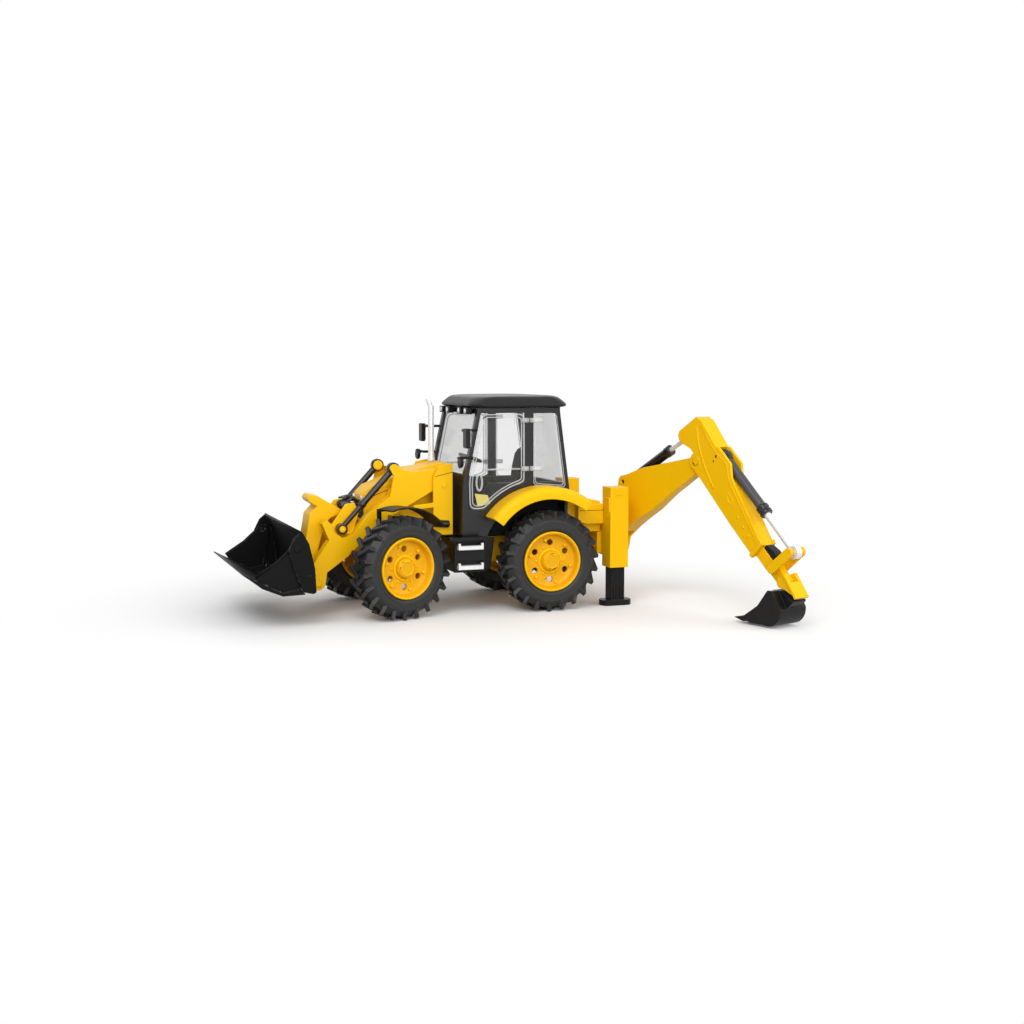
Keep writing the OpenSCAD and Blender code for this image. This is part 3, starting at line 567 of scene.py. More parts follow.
def inset(outline, by):
    """An outline in a plane, moved in by a distance."""
    area = sum(a[0] * b[1] - b[0] * a[1] for a, b in zip(outline, outline[1:] + outline[:1]))
    turn = 1 if area > 0 else -1
    moved = []
    for i, point in enumerate(outline):
        before, after = outline[i - 1], outline[(i + 1) % len(outline)]
        a = Vector((point[0] - before[0], point[1] - before[1])).normalized()
        b = Vector((after[0] - point[0], after[1] - point[1])).normalized()
        bisector = Vector((-a.y - b.y, a.x + b.x)) * turn
        bisector /= max(bisector.length_squared / 2, 0.3)
        moved.append((point[0] + bisector.x * by, point[1] + bisector.y * by))
    return moved


def softened(outline, radius, steps=5):
    """An outline with its corners rounded."""
    path = []
    for i, point in enumerate(outline):
        here = Vector(point)
        before, after = Vector(outline[i - 1]), Vector(outline[(i + 1) % len(outline)])
        reach = min(radius, (before - here).length / 2.2, (after - here).length / 2.2)
        start = here + (before - here).normalized() * reach
        end = here + (after - here).normalized() * reach
        for k in range(steps + 1):
            t = k / steps
            path.append(tuple(start * (1 - t) ** 2 + here * (2 * t * (1 - t)) + end * t ** 2))
    return path


def arc(centre, radius, start, end, steps):
    """Points of an arc between two angles in degrees."""
    turns = [math.radians(start + (end - start) * i / steps) for i in range(steps + 1)]
    return [(centre[0] + radius * math.cos(a), centre[1] + radius * math.sin(a)) for a in turns]


def detail(name, meshes, body, finish, *nodes):
    """One piece from several meshes, riding on a body and standing for any named CAD nodes."""
    piece = new_piece(name, joined(name, meshes), body, finish)
    if nodes:
        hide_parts(*nodes)
    return piece


# Bodywork

FENDER_CENTRE = (2, 45)
FENDER_ARC = (37, 128)
FENDER_STEPS = 48
FENDER_SECTION = (
    (63.4, 51.3), (66.0, 51.3), (66.0, 69.5), (65.7, 71.3), (64.8, 73.2), (63.2, 74.6), (61.2, 75.3),
    (55.6, 75.3), (55.0, 74.7), (55.0, 73.3), (55.6, 72.7), (60.6, 72.7), (62.2, 71.6), (63.2, 69.4))
TREAD_HEIGHTS = (43.0, 60.4)
TREAD_ACROSS = (57, 64.6)
TREAD_RIBS = 11
TREAD_FIRST = 62.2
TREAD_PITCH = 2.06
HOOD_SEAM = ((80, 122.6), (94, 120.2), (126, 111.6), (148, 103.2))
HOOD_SIDE = 20.2
TOWER_SEAM = ((80.4, 123.4), (90, 121.4), (96.2, 119.8))
TOWER_SIDE = 36.4
TOWER_PIN = (88, TOWER_SIDE, 112)
DECK_SEAM = ((-35, 86.5), (-59, 86.5))
DECK_SIDE = 52
LIFT_CAP = ((84.6, 77.6), (85.4, 77.7), (94.6, 78.5), (99.6, 79.2))
LIFT_CAP_SIDE = 37.6
LIFT_CAP_RADIUS = 3.3
LIFT_CAP_END = (
    (0, 1.1), (1.6, 0.9), (2.7, 0.4), (LIFT_CAP_RADIUS, -0.4), (LIFT_CAP_RADIUS, -1.0), (0, -1.0))


def fender_skin(hand):
    """A rear fender: a rounded band with a deep outer lip, along the arc over the wheel."""
    x, z = FENDER_CENTRE
    start, end = FENDER_ARC
    rings = []
    for step in range(FENDER_STEPS + 1):
        a = math.radians(start + (end - start) * step / FENDER_STEPS)
        rings.append([machine(x + r * math.cos(a), hand * y, z + r * math.sin(a))
                      for r, y in FENDER_SECTION])
    return rounded(loft("fender", rings), width=0.25 * MM, angle=50)


class LOADER_OT_bodywork(bpy.types.Operator):
    """Chassis, hood, tower, fenders, deck, steps and exhaust"""
    bl_idname = "loader.bodywork"
    bl_label = "Bodywork"

    def execute(self, context):
        for node in ("chassis", "rear_frame", "front_axle", "rear_axle", "knuckle_left", "knuckle_right"):
            dress_node(node, "yellow")
        dress_node("rear_deck", "yellow", "broad_edge", 3)
        dress_node("loader_tower", "yellow", "soft_edge", 3)
        dress_node("hood", "yellow", "hood_edge", 4)
        detail("fender_pair", [fender_skin(hand) for _, hand in HANDS], "machine", "yellow", "rear_fenders")
        for node in ("front_grille", "side_steps", "mudguard_left", "mudguard_right"):
            dress_node(node, "black")
        dress_node("head_lamps", "lamp", "thin_edge")
        dress_node("exhaust", "silver", "thin_edge")
        dress_node("step_treads", "silver", "thin_edge")
        self.tread_ribs()
        self.seams_and_pins()
        return {"FINISHED"}

    def tread_ribs(self):
        """Grip ribs on the steps."""
        ribs = []
        for _, hand in HANDS:
            for z in TREAD_HEIGHTS:
                for k in range(TREAD_RIBS):
                    x = TREAD_FIRST + k * TREAD_PITCH
                    ribs.append(tube("rib", [machine(x, hand * y, z) for y in TREAD_ACROSS], 0.45, sides=8))
        detail("tread_ribs", ribs, "machine", "silver")

    def seams_and_pins(self):
        """Shut lines of the hood, tower and deck, pins of the tower and the black caps of its lower pins."""
        lines = []
        pins = []
        caps = []
        for _, hand in HANDS:
            lines.append(tube("seam", side_line(HOOD_SEAM, hand * HOOD_SIDE), 0.3, sides=6))
            lines.append(tube("seam", side_line(TOWER_SEAM, hand * TOWER_SIDE), 0.25, sides=6))
            lines.append(tube("seam", side_line(DECK_SEAM, hand * DECK_SIDE), 0.25, sides=6))
            pin = mirrored([TOWER_PIN], hand)[0]
            pins.append(pin_head(pin, machine(0, hand, 0), 2.4, sunk=0.4, shoulder=0.3, crown=0.6, edge=0.4))
            cap = side_line(LIFT_CAP, hand * LIFT_CAP_SIDE)
            caps.append(tube("cap", cap, LIFT_CAP_RADIUS, sides=20))
            caps.append(turned("end", cap[0], machine(-1, 0, -0.1), LIFT_CAP_END, 24))
        detail("shut_lines", lines, "machine", "black")
        detail("tower_pins", pins, "machine", "yellow")
        detail("lift_pin_caps", caps, "machine", "gloss_black")


# Cab

DOOR = [(56, 91), (69.5, 91), (70, 117), (58, 175), (17.5, 175), (17.5, 115),
        *arc(FENDER_CENTRE, 70.5, 73, 47, 8)]
DOOR_SKIN = 51.1
DOOR_RIMS = ((0.8, 0.62), (3.1, 0.5))
DOOR_PANEL = ((64.2, 105), (52.1, 103.3), (49.9, 95.7), (61.4, 93.4))
DOOR_PANEL_SIDE = 50.05
HANDLE_CENTRE = (61, 115)
HANDLE_HALVES = (2.6, 7.2)
HANDLE_SIDE = 53.2
RAIL = ((22, 126), (57.5, 126))
RAIL_SIDE = 51.6
HINGE_HEIGHTS = (169, 126)
HINGE_SIDE = 52.2
HINGE_LEAF = (14, 21)
HINGE_PLATE = (1, 12.8)
QUARTER = [(9, 111), (9, 175), (-13, 175), (-22.2, 108)]
QUARTER_SIDE = 50.5
QUARTER_BEADS = (0.2, 1.6)
ROOF_BACK = -21
ROOF_FRONT = 63
ROOF_HALF = 52
ROOF_STEPS = (
    (183.0, -6), (183.0, -4.4), (180.4, -3.8), (180.3, -0.6), (180.4, 1.0), (180.9, 2.4), (181.8, 3.1),
    (182.8, 3.2), (183.6, 2.8), (185.2, 1.4), (186.9, -0.2), (188.5, -1.9), (189.5, -3.3), (190.2, -5.2),
    (190.6, -8), (190.9, -12), (191.15, -18), (191.3, -25))
SEAT_PAN = (
    (5, 33, 97.2, 1.2), (4.2, 33.8, 98.4, 0.2), (4, 34, 102.5, 0), (5, 33, 104.6, 1.0), (8, 30, 105.4, 4))
SEAT_PAN_HALF = 14
SEAT_BACK = (
    (-1, 9, 103, 1.0), (-2.2, 8.8, 108, 0), (-4.6, 7, 124, 0.4), (-6.6, 4.6, 136, 1.6), (-7, 2.6, 140, 3.6),
    (-5.6, 0.6, 141.6, 6))
SEAT_BACK_HALF = 13
SEAT_RIDGE = [(3.9, -14.1), (34.1, -14.1), (34.1, 14.1), (3.9, 14.1)]
SEAT_RIDGE_HEIGHT = 102.5
ARM_REST = ((6, 110), (10, 111), (25, 110.4), (27, 109))
ARM_REST_SIDE = 15
ARM_REST_STAY = ((9, 14.2, 101), (9.6, 14.8, 110))
LEVER = ((40, 38, 112.5), (41, 37.6, 119), (42, 37, 122))
LEVER_KNOB = (42, 37, 123)
KNOB = ((0, -1.6), (1.2, -1.3), (1.7, 0), (1.2, 1.3), (0, 1.6))
LENS = ((0, -0.5), (2.3, -0.5), (2.3, 0.3), (1.5, 0.8), (0, 1.0))
LENS_PLACES = ((68, 17, 177.2, 1), (68, 35, 177.2, 1), (-21, 35, 177.2, -1))
MIRROR_GLASS = ((74.9, 63.2, 147.4), (74.9, 70.8, 147.4), (74.9, 70.8, 161.6), (74.9, 63.2, 161.6))


def roof_ring(z, grow):
    """The roof's outline at a height, grown outward."""
    back, front, side = ROOF_BACK - grow, ROOF_FRONT + grow, ROOF_HALF + grow
    corners = [(back, 7 - side), (back + 6, -side), (front - 8, -side), (front, 13 - side),
               (front, side - 13), (front - 8, side), (back + 6, side), (back, side - 7)]
    return [machine(x, y, z) for x, y in softened(corners, 12, 6)]


def seat_block(steps, half):
    """A moulded block from its back, front, height and narrowing at each step."""
    rings = []
    for x0, x1, z, narrow in steps:
        y = half - narrow
        outline = softened([(x0, -y), (x1, -y), (x1, y), (x0, y)], 3, 4)
        rings.append([machine(*point, z) for point in outline])
    return loft("seat_block", rings)


def hinge_bar(ends, hand, z):
    """A flat bar of a door hinge between two places along the machine."""
    path = [machine(x, hand * HINGE_SIDE, z) for x in ends]
    return tube("hinge", path, 2.0, flat=0.5, up=Vector((0, 1, 0)))


class LOADER_OT_cab(bpy.types.Operator):
    """Cab frame, glazing, doors, roof, lamps, mirrors and what shows inside"""
    bl_idname = "loader.cab"
    bl_label = "Cab"

    def execute(self, context):
        dress_node("cab_floor", "inner_black", "floor_edge")
        for node in ("steering_console", "work_lamps"):
            dress_node(node, "black")
        dress_node("mirrors", "black", "mirror_edge", 4)
        dress_node("cab_frame", "gloss_black")
        for node in ("cab_glass", "door_left", "door_right"):
            dress_node(node, "clear", "thin_edge")
        self.seat()
        self.roof()
        self.rims()
        self.lenses()
        return {"FINISHED"}

    def seat(self):
        """A hard moulded seat with a tall back, arm rests and a ridge round its base."""
        shapes = [seat_block(SEAT_PAN, SEAT_PAN_HALF), seat_block(SEAT_BACK, SEAT_BACK_HALF)]
        ridge = [machine(x, y, SEAT_RIDGE_HEIGHT) for x, y in softened(SEAT_RIDGE, 3, 4)]
        levers = [tube("ridge", ridge, 0.35, True, 8)]
        for _, hand in HANDS:
            shapes.append(tube("rest", side_line(ARM_REST, hand * ARM_REST_SIDE), 2.0, sides=12))
            shapes.append(tube("stay", mirrored(ARM_REST_STAY, hand), 1.5))
            levers.append(tube("lever", mirrored(LEVER, hand), 0.8))
            levers.append(turned("knob", mirrored([LEVER_KNOB], hand)[0], machine(0, 0, 1), KNOB, 16))
        detail("seat_moulding", shapes, "machine", "inner_black", "seat")
        detail("seat_ridge_and_levers", levers, "machine", "gloss_black")

    def roof(self):
        """The rounded roof shell with its brim."""
        mesh = loft("roof_shell", [roof_ring(z, grow) for z, grow in ROOF_STEPS])
        detail("roof_shell", [rounded(mesh, width=0.3 * MM, angle=60)], "machine", "roof_black", "roof")

    def rims(self):
        """Raised rims, rails, handles and hinges of the doors, and the beads of the rear windows, in a pale
        clear plastic that paints the highlights along them.
        """
        beads = []
        for label, hand in HANDS:
            shapes = []
            for by, radius in DOOR_RIMS:
                path = side_line(softened(inset(DOOR, by), 5), hand * DOOR_SKIN)
                shapes.append(tube("rim", path, radius, True))
            oval = [(HANDLE_CENTRE[0] + HANDLE_HALVES[0] * math.cos(a),
                     HANDLE_CENTRE[1] + HANDLE_HALVES[1] * math.sin(a)) for a in angles(28)]
            shapes.append(tube("handle", side_line(oval, hand * HANDLE_SIDE), 0.85, True))
            shapes.append(tube("rail", side_line(RAIL, hand * RAIL_SIDE), 0.75))
            for z in HINGE_HEIGHTS:
                shapes.append(hinge_bar(HINGE_LEAF, hand, z))
                beads.append(hinge_bar(HINGE_PLATE, hand, z))
            detail(f"door_rim_{label}", shapes, f"{label}_door", "clear_rim_painted_highlight")
            corners = side_line(DOOR_PANEL, hand * DOOR_PANEL_SIDE)
            panel = prism("panel", corners, machine(0, hand * 0.3, 0), 0.1)
            detail(f"door_panel_{label}", [panel], f"{label}_door", "pale")
            for by in QUARTER_BEADS:
                path = side_line(softened(inset(QUARTER, by), 4), hand * QUARTER_SIDE)
                beads.append(tube("bead", path, 0.4, True))
        detail("window_beads", beads, "machine", "clear_rim_painted_highlight")

    def lenses(self):
        """Lamp glasses under the roof's edge and in the mirrors."""
        shapes = []
        for _, hand in HANDS:
            for x, y, z, ahead in LENS_PLACES:
                shapes.append(turned("lens", machine(x, hand * y, z), machine(ahead, 0, 0), LENS, 24))
            shapes.append(prism("glass", mirrored(MIRROR_GLASS, hand), machine(-0.5, 0, 0), 0.15))
        detail("lamp_and_mirror_glass", shapes, "machine", "lamp")


# Wheels

RIM_BEAD = ((25.2, 11.8), (26.5, 11.8), (26.6, 12.6), (26.2, 13.2), (25.5, 13.3), (25.0, 12.8))
CAP_RING = ((5.6, 10.8), (6.4, 10.8), (6.4, 11.4), (6.0, 11.6), (5.6, 11.4))
HUB_STEP = ((9.0, 5.6), (11.4, 5.6), (11.4, 6.6), (10.8, 7.1), (9.0, 7.3))
RIM_CLIP = ((0, 5), (1.5, 5), (1.5, 7.6), (1.1, 8.1), (0, 8.2))
RIM_CLIP_CIRCLE = 19.4
RIM_CLIP_START = 15
HUB_STUD = ((0, 5.5), (1.0, 5.5), (1.0, 6.8), (0, 7.2))
HUB_STUD_CIRCLE = 13.0
RIM_FITTINGS = 6
WALL_RING = ((-0.5, 12.7), (-0.4, 13.15), (0, 13.35), (0.4, 13.15), (0.5, 12.7))
WALL_RING_RADII = (30.4, 34.6)


class LOADER_OT_wheels(bpy.types.Operator):
    """Tyres and rims"""
    bl_idname = "loader.wheels"
    bl_label = "Wheels"

    def execute(self, context):
        for end, angle in (("front", STEER_REST), ("rear", 0.0)):
            for hand, side in HANDS:
                low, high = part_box(f"rim_{end}_{hand}")
                centre = (Vector(low) + Vector(high)) / 2
                out = Vector((-math.sin(angle), math.cos(angle), 0)) * side
                # The rim's dish takes the darker rim yellow as painted shade; its fittings and bead stay
                # plain yellow.
                dress_node(f"rim_{end}_{hand}", "rim_painted_shade_yellow", "soft_edge", 3)
                dress_node(f"tyre_{end}_{hand}", "rubber", "tyre_edge", angle=28)
                self.fittings(f"{end}_{hand}", centre, out)
        return {"FINISHED"}

    def fittings(self, name, centre, out):
        """Clips, studs and beads on one rim, and rings on its tyre's wall."""
        up = Vector((0, 0, 1))
        along = out.cross(up).normalized()

        def at(radius, degrees):
            a = math.radians(degrees)
            return centre + (along * math.cos(a) + up * math.sin(a)) * (radius * MM)

        shapes = [turned("bead", centre, out, RIM_BEAD, 72),
                  turned("cap_ring", centre, out, CAP_RING),
                  turned("step", centre, out, HUB_STEP)]
        for k in range(RIM_FITTINGS):
            turn = 360 // RIM_FITTINGS * k
            shapes.append(turned("clip", at(RIM_CLIP_CIRCLE, RIM_CLIP_START + turn), out, RIM_CLIP, 14))
            shapes.append(turned("stud", at(HUB_STUD_CIRCLE, turn), out, HUB_STUD, 12))
        detail(f"rim_fittings_{name}", shapes, f"{name}_wheel", "yellow")
        walls = [turned("wall", centre, out, [(radius + r, d) for r, d in WALL_RING], 96)
                 for radius in WALL_RING_RADII]
        detail(f"tyre_wall_{name}", walls, f"{name}_wheel", "rubber")


# Front loader

CROSS_TUBE = (168, 93.5)
COLLARS = ((-14, 24), (-5, 6), (5, 6), (14, 24))
ELBOW = ((168, 96.4), (167.4, 98.6), (165.6, 100.2), (162.6, 100.6))
ELBOW_SIDES = (-9.5, 9.5)
ELBOW_NUT = (164, 100.5)
TILT_PIN = (132, 127)
TILT_END = (179, 76)
TILT_SIDE = 27
TILT_EYE = ((4.4, -3.0), (5.3, -3.0), (5.7, -2.4), (5.7, 2.4), (5.3, 3.0), (4.4, 3.0))
TILT_GLAND = ((2.2, -2.2), (3.3, -2.2), (3.5, -1.6), (3.5, 1.6), (3.0, 2.2), (2.2, 2.2))
TILT_GLAND_SHARE = 0.6
TILT_HEAD_SIDE = 23.9
ARM_PINS = ((201, 33.5, 30, 3.4), (179, 32.8, 76, 2.9), (147, 33, 84, 2.8))
LIP = ((261, 38.2), (273.4, 46.6), (273.2, 47.6), (261, 41.2))
LIP_HALF = 80.8
CHEEK = ((263, 44.6), (246, 55.6), (235, 65.4))
CHEEK_SIDE = 78.6
HEEL = ((225.4, 33.7), (226.4, 33.7), (226.4, 31.2), (229.4, 31.2), (228.6, 42), (226.2, 42))
HEEL_SIDE = 76
CLAM_PIN = (228.5, 66.6)
BUCKET_SIDE = 81
BUCKET_SEAM = ((213.6, 44), (222, 44), (229, 46))
BUCKET_TOP = ((225.2, -80, 80), (225.2, 80, 80))


class LOADER_OT_front_loader(bpy.types.Operator):
    """Loader arms, cylinders and the clam bucket"""
    bl_idname = "loader.front_loader"
    bl_label = "Front loader"

    def execute(self, context):
        dress_node("loader_arms", "yellow", "soft_edge", 3)
        dress_node("bucket_carrier", "yellow", "broad_edge", 3)
        for node in ("tilt_cylinders", "lift_barrels"):
            dress_node(node, "gloss_black", "thin_edge")
        dress_node("lift_rods", "silver", "thin_edge")
        for node in ("bucket_back", "bucket_clam"):
            dress_node(node, "worn_and_highlit_black", "bucket_edge")
        self.pipes()
        self.pins()
        self.bucket_edges()
        return {"FINISHED"}

    def pipes(self):
        """The black cross tube with its pipe fittings, and the cylinders' eyes and glands."""
        across = Vector((0, 1, 0))
        shapes = [sleeve(side_line([CROSS_TUBE], 0)[0], across, inner=3.1, outer=3.7, half=20.4)]
        for y, sides in COLLARS:
            place = side_line([CROSS_TUBE], y)[0]
            shapes.append(sleeve(place, across, inner=3.2, outer=4.5, half=1.3, steps=sides))
        for y in ELBOW_SIDES:
            shapes.append(tube("elbow", side_line(ELBOW, y), 1.5, sides=14))
            place = side_line([ELBOW_NUT], y)[0]
            shapes.append(sleeve(place, machine(1, 0, 0), inner=1.4, outer=2.2, half=1.2, steps=6))
        for _, hand in HANDS:
            start, end = side_line((TILT_PIN, TILT_END), hand * TILT_SIDE)
            shapes.append(turned("eye", start, across, TILT_EYE, 36))
            gland = start + (end - start) * TILT_GLAND_SHARE
            shapes.append(turned("gland", gland, end - start, TILT_GLAND, 28))
        detail("loader_pipes", shapes, "loader_arm", "gloss_black")

    def pins(self):
        """Pin heads on the arms' outsides and inside the tilt cylinders' eyes."""
        heads = []
        for _, hand in HANDS:
            out = machine(0, hand, 0)
            for x, y, z, radius in ARM_PINS:
                place = machine(x, hand * y, z)
                heads.append(pin_head(place, out, radius, sunk=0.6, shoulder=0.4, crown=0.9, edge=0.5))
            place = side_line([TILT_PIN], hand * TILT_HEAD_SIDE)[0]
            heads.append(pin_head(place, -out, 4.4, sunk=0.6, shoulder=0.3, crown=0.8, edge=0.5, steps=32))
        detail("arm_pin_heads", heads, "loader_arm", "yellow")

    def bucket_edges(self):
        """Cutting edge, cheek edges and heels of the clam, and the pins, seams and top bead of its back."""
        shapes = [prism("lip", side_line(LIP, -LIP_HALF), machine(0, 2 * LIP_HALF, 0), 0.25)]
        heads = []
        for _, hand in HANDS:
            shapes.append(tube("cheek_edge", side_line(CHEEK, hand * CHEEK_SIDE), 1.0, sides=8))
            shapes.append(prism("heel", side_line(HEEL, hand * HEEL_SIDE), machine(0, hand * 1.6, 0), 0.15))
            place = side_line([CLAM_PIN], hand * BUCKET_SIDE)[0]
            heads.append(pin_head(
                place, machine(0, hand, 0), 3.0, sunk=0.5, shoulder=0.5, crown=1.0, edge=0.6))
            heads.append(tube("seam", side_line(BUCKET_SEAM, hand * BUCKET_SIDE), 0.5, sides=8))
        heads.append(tube("top_bead", mirrored(BUCKET_TOP, 1), 1.1))
        detail("clam_edges", shapes, "clam", "worn_and_highlit_black")
        detail("bucket_back_edges", heads, "front_bucket", "worn_and_highlit_black")


# Hoe

DIPPER_FACE = 8.0
DIPPER_RIB = ((-20, 22), (-8, 13), (0.5, 8.6), (10, 4.6), (22.8, 0.6), (32, -1.4))
DIPPER_BEAD = ((-18, 26.6), (8, 22.8), (28, 24.4), (38.6, 16.6), (97, 2.4))
DIPPER_RIVETS = ((68, 1.4), (78, 0.2), (87.5, -0.8))
RIVET = ((0, -0.3), (1.3, -0.3), (1.1, 0.35), (0.6, 0.6), (0, 0.65))
DIPPER_HOLES = ((14, 20.4, 1.3), (14.8, 15.6, 0.8))
PAD_CENTRE = (50.5, 5.8)
PAD_HALVES = (6, 2.4)
PAD_SLANT = 1.1
WEDGE = ((104, 2.6), (104, 6.4), (113, 8.6), (116.6, 8.2), (117.6, 2.6))
WEDGE_HALF = 4.4
CURL_HEIGHT = 22.4
CURL_GLAND_AT = 84
CURL_GLAND = (
    (3.3, -8.6), (5.2, -8.6), (5.5, -8.0), (5.5, -5.4), (5.1, -5), (5.1, -3.2), (5.5, -2.8), (5.5, -0.3),
    (5.0, 0.3), (3.3, 0.3))
CURL_CAP_AT = 16
CURL_CAP = (
    (0, -5.2), (3.4, -5.2), (4.6, -4.4), (5.0, -3.2), (5.0, 5.6), (4.6, 6.2), (4.1, 6.2), (4.1, 0), (0, 0))


class LOADER_OT_hoe(bpy.types.Operator):
    """Kingpost, boom, dipper, cylinders, hitch and hoe bucket"""
    bl_idname = "loader.hoe"
    bl_label = "Hoe"

    def execute(self, context):
        for node in ("kingpost", "dipper_extension", "tipping_link", "quick_hitch"):
            dress_node(node, "yellow")
        for node in ("boom", "dipper"):
            dress_node(node, "yellow", "boom_edge", 3)
        dress_node("hoe_bucket", "black", "soft_edge")
        dress_node("dipper_barrel", "gloss_black", "thin_edge")
        dress_node("bucket_barrel", "grey", "thin_edge")
        for node in ("dipper_rod", "bucket_rod"):
            dress_node(node, "silver", "thin_edge")
        self.dipper_relief()
        self.wedge_and_rings()
        self.dipper_beads()
        return {"FINISHED"}

    def dipper_relief(self):
        """Rib, rivets and oval pad on the dipper's sides."""
        shapes = []
        for _, hand in HANDS:
            face = hand * DIPPER_FACE
            shapes.append(tube("rib", dipper_line(DIPPER_RIB, face), 0.7, sides=8))
            for place in dipper_line(DIPPER_RIVETS, face):
                shapes.append(turned("rivet", place, dipper_way(0, hand), RIVET, 20))
            pad = [(PAD_CENTRE[0] + PAD_HALVES[0] * math.cos(a),
                    PAD_CENTRE[1] + PAD_HALVES[1] * math.sin(a) - PAD_SLANT * math.cos(a))
                   for a in angles(24)]
            shapes.append(tube("pad", dipper_line(pad, face), 0.4, True, 8))
        detail("dipper_relief", shapes, "hoe_dipper", "yellow")

    def wedge_and_rings(self):
        """The dark wedge of the extension, and the gland and cap of the curl cylinder."""
        wedge = prism("wedge", dipper_line(WEDGE, -WEDGE_HALF), dipper_way(0, 2 * WEDGE_HALF), 0.4)
        detail("extension_wedge", [wedge], "extension", "black")
        along = dipper_way(1, 0)
        rings = [turned("gland", dipper_plane(CURL_GLAND_AT, 0, CURL_HEIGHT), along, CURL_GLAND, 40),
                 turned("cap", dipper_plane(CURL_CAP_AT, 0, CURL_HEIGHT), along, CURL_CAP, 40)]
        detail("curl_cylinder_rings", rings, "hoe_dipper", "gloss_black")

    def dipper_beads(self):
        """Edge beads and eyelets of the dipper's sides, and black discs in the eyelets that paint the shade
        inside their holes.
        """
        beads = []
        hole_shades = []
        for _, hand in HANDS:
            face = hand * DIPPER_FACE
            out = dipper_way(0, hand)
            beads.append(tube("bead", dipper_line(DIPPER_BEAD, face), 0.55, sides=8))
            for along, up, r in DIPPER_HOLES:
                place = dipper_plane(along, face, up)
                eyelet = [(r, -0.2), (r + 0.8, -0.2), (r + 0.7, 0.35), (r, 0.35)]
                beads.append(turned("eyelet", place, out, eyelet, 24))
                # A flat black disc in each eyelet paints the shade inside its hole.
                hole_shades.append(turned("hole", place, out, [(0, -0.2), (r, -0.2), (r, 0.05), (0, 0.05)], 20))
        detail("dipper_beads", beads, "hoe_dipper", "yellow")
        detail("dipper_holes", hole_shades, "hoe_dipper", "black")


# Stabilisers

LEG_RIBS = (-73.0, -70.3, -66.7, -64.0)
LEG_RIB_SIDE = 63.55
LEG_RIB_HEIGHTS = (6, 72)
HOUSING_FRONT = -59.7
HOOK = ((55, 98.6), (65.4, 98.6), (65.4, 86), (61, 80.4), (57.4, 80.4), (57.4, 86))
HOUSING_SIDE = 66
HOUSING_PAD = ((-64, 106), (-71, 106), (-71, 101), (-64, 101))


class LOADER_OT_stabilisers(bpy.types.Operator):
    """Legs with their ribs, and the clips on the housings"""
    bl_idname = "loader.stabilisers"
    bl_label = "Stabilisers"

    def execute(self, context):
        clips = []
        for label, hand in HANDS:
            dress_node(f"leg_{label}", "black", "soft_edge", 3)
            ribs = []
            for x in LEG_RIBS:
                path = [machine(x, hand * LEG_RIB_SIDE, z) for z in LEG_RIB_HEIGHTS]
                ribs.append(tube("rib", path, 0.45, sides=8))
            detail(f"leg_ribs_{label}", ribs, f"{label}_leg", "black")
            hook = [machine(HOUSING_FRONT, hand * y, z) for y, z in HOOK]
            clips.append(prism("clip", hook, machine(1.5, 0, 0), 0.3))
            pad = side_line(HOUSING_PAD, hand * HOUSING_SIDE)
            clips.append(prism("pad", pad, machine(0, hand * 0.8, 0), 0.25))
        detail("housing_clips", clips, "machine", "yellow")
        return {"FINISHED"}


# Stage, in metres

CAMERA_AT = Vector((0.4604, 1.2129, 0.2132))
CAMERA_TOWARDS = Vector((-0.3459, -0.9328, -0.1008))
CAMERA_LENS = 49.25
CAMERA_SENSOR = 36
WHITE = (1, 1, 1, 1)
FLOOR_SIZE = 6
FLOOR_LIT = (0.42, 0.42, 0.42, 1)
FLOOR_SEEN = (0.96, 0.96, 0.96, 1)
FLOOR_CENTRE = (0.05, 0.05, 0.0)
FLOOR_FADE = {"From Min": 0.2, "From Max": 0.42}
SKY_STRENGTH = 0.55
LAMPS_TOWARDS = Vector((0.05, 0.05, 0.08))
LAMPS = (
    ("key", (0.75, 1.0, 1.25), 0.9, 10),
    ("front", (0.15, 1.5, 0.45), 1.0, 8.5),
    ("fill", (-0.9, 0.9, 0.7), 1.0, 5),
    ("back", (-0.3, -1.1, 1.0), 1.0, 2.5),
)


def background_rays(tree, place):
    """One for rays of the camera, of gloss and of glass, which see the white background."""
    rays = add_node(tree, "LightPath", place)
    gloss = add_node(tree, "Math", (place[0] + 200, place[1]), operation="MAXIMUM")
    every = add_node(tree, "Math", (place[0] + 400, place[1]), operation="MAXIMUM")
    wire(tree, [
        (rays, "Is Camera Ray", gloss, 0), (rays, "Is Glossy Ray", gloss, 1), (gloss, "Value", every, 0),
        (rays, "Is Transmission Ray", every, 1),
    ])
    return every


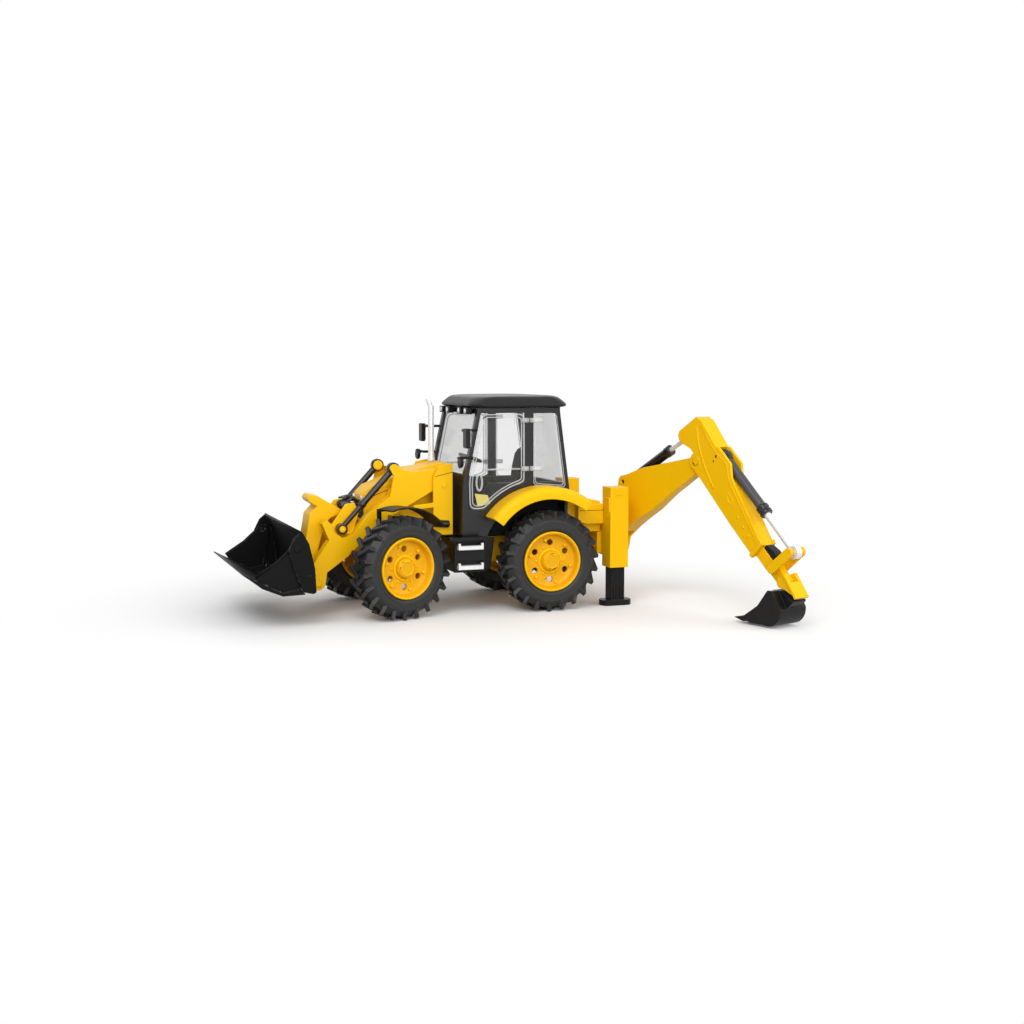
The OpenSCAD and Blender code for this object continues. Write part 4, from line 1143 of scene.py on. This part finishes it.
def floor_material():
    """A pale floor that keeps the shadow near the object and turns white further out."""
    made = bpy.data.materials.new("pale_floor")
    made.use_nodes = True
    tree = made.node_tree
    shader = tree.nodes["Principled BSDF"]
    shader.inputs["Roughness"].default_value = 0.9
    shader.inputs["Specular IOR Level"].default_value = 0.0
    seen = background_rays(tree, (-1100, 500))
    tone = add_node(
        tree, "Mix", (-300, 500), {"A": FLOOR_LIT, "B": FLOOR_SEEN}, data_type="RGBA")
    where = add_node(tree, "TexCoord", (-900, 200))
    away = add_node(tree, "VectorMath", (-700, 200), {1: FLOOR_CENTRE}, operation="DISTANCE")
    fade = add_node(tree, "MapRange", (-500, 200), FLOOR_FADE, interpolation_type="SMOOTHSTEP")
    white_seen = add_node(tree, "Math", (-300, 300), operation="MULTIPLY")
    white = add_node(tree, "Emission", (-100, -100), {"Color": WHITE})
    mix = add_node(tree, "MixShader", (100, 200))
    wire(tree, [
        (seen, "Value", tone, "Factor"), (tone, "Result", shader, "Base Color"), (where, "Object", away, 0),
        (away, "Value", fade, "Value"), (seen, "Value", white_seen, 0), (fade, "Result", white_seen, 1),
        (white_seen, "Value", mix, "Fac"), (shader, "BSDF", mix, 1), (white, "Emission", mix, 2),
        (mix, "Shader", tree.nodes["Material Output"], "Surface"),
    ])
    return made


class LOADER_OT_stage(bpy.types.Operator):
    """Floor, lamps, world and camera"""
    bl_idname = "loader.stage"
    bl_label = "Stage"

    def execute(self, context):
        scene = context.scene
        scene.view_settings.view_transform = "Standard"
        self.floor(scene)
        self.world(scene)
        for lamp in LAMPS:
            self.lamp(scene, *lamp)
        self.camera(scene)
        return {"FINISHED"}

    def floor(self, scene):
        """The floor under the wheels."""
        mesh = bpy.data.meshes.new("floor")
        form = bmesh.new()
        bmesh.ops.create_grid(form, x_segments=1, y_segments=1, size=FLOOR_SIZE)
        form.to_mesh(mesh)
        form.free()
        mesh.materials.append(floor_material())
        floor = bpy.data.objects.new("floor", mesh)
        scene.collection.objects.link(floor)

    def world(self, scene):
        """A white background over a softer light from all sides."""
        world = bpy.data.worlds.new("studio")
        scene.world = world
        world.use_nodes = True
        tree = world.node_tree
        sky = tree.nodes["Background"]
        sky.inputs["Color"].default_value = WHITE
        sky.inputs["Strength"].default_value = SKY_STRENGTH
        seen = add_node(tree, "Background", (0, 200), {"Color": WHITE, "Strength": 1.0})
        mix = add_node(tree, "MixShader", (250, 100))
        rays = background_rays(tree, (-600, 400))
        wire(tree, [
            (rays, "Value", mix, "Fac"), (sky, "Background", mix, 1), (seen, "Background", mix, 2),
            (mix, "Shader", tree.nodes["World Output"], "Surface"),
        ])

    def lamp(self, scene, name, at, size, power):
        """A round area lamp that shines on the object."""
        lamp = bpy.data.lights.new(name, "AREA")
        lamp.shape = "DISK"
        lamp.size = size
        lamp.energy = power
        holder = bpy.data.objects.new(name, lamp)
        scene.collection.objects.link(holder)
        holder.location = at
        holder.rotation_euler = (LAMPS_TOWARDS - Vector(at)).to_track_quat("-Z", "Y").to_euler()

    def camera(self, scene):
        """The camera where the photograph was taken from."""
        lens = bpy.data.cameras.new("photo_view")
        lens.lens = CAMERA_LENS
        lens.sensor_width = CAMERA_SENSOR
        camera = bpy.data.objects.new("photo_view", lens)
        scene.collection.objects.link(camera)
        camera.location = CAMERA_AT
        camera.rotation_euler = CAMERA_TOWARDS.to_track_quat("-Z", "Y").to_euler()
        scene.camera = camera


PIECES = (LOADER_OT_bodywork, LOADER_OT_cab, LOADER_OT_wheels, LOADER_OT_front_loader, LOADER_OT_hoe,
          LOADER_OT_stabilisers, LOADER_OT_stage)


class LOADER_PT_sidebar(bpy.types.Panel):
    """Lists the loader's pieces"""
    bl_idname = "LOADER_PT_sidebar"
    bl_label = "Toy backhoe loader"
    bl_space_type = "VIEW_3D"
    bl_region_type = "UI"
    bl_category = "Loader"

    def draw(self, context):
        for piece in PIECES:
            self.layout.operator(piece.bl_idname)
        for group in (colours(), sizes()):
            for name in group.__annotations__:
                self.layout.prop(group, name)


CLASSES = (LoaderColours, LoaderSizes, *PIECES, LOADER_PT_sidebar)


def register():
    for cls in CLASSES:
        bpy.utils.register_class(cls)
    bpy.types.Scene.loader_colours = bpy.props.PointerProperty(type=LoaderColours)
    bpy.types.Scene.loader_sizes = bpy.props.PointerProperty(type=LoaderSizes)


def unregister():
    del bpy.types.Scene.loader_sizes
    del bpy.types.Scene.loader_colours
    for cls in reversed(CLASSES):
        bpy.utils.unregister_class(cls)


def main():
    register()
    for piece in PIECES:
        category, name = piece.bl_idname.split(".")
        getattr(getattr(bpy.ops, category), name)()


if __name__ == "__main__":
    main()
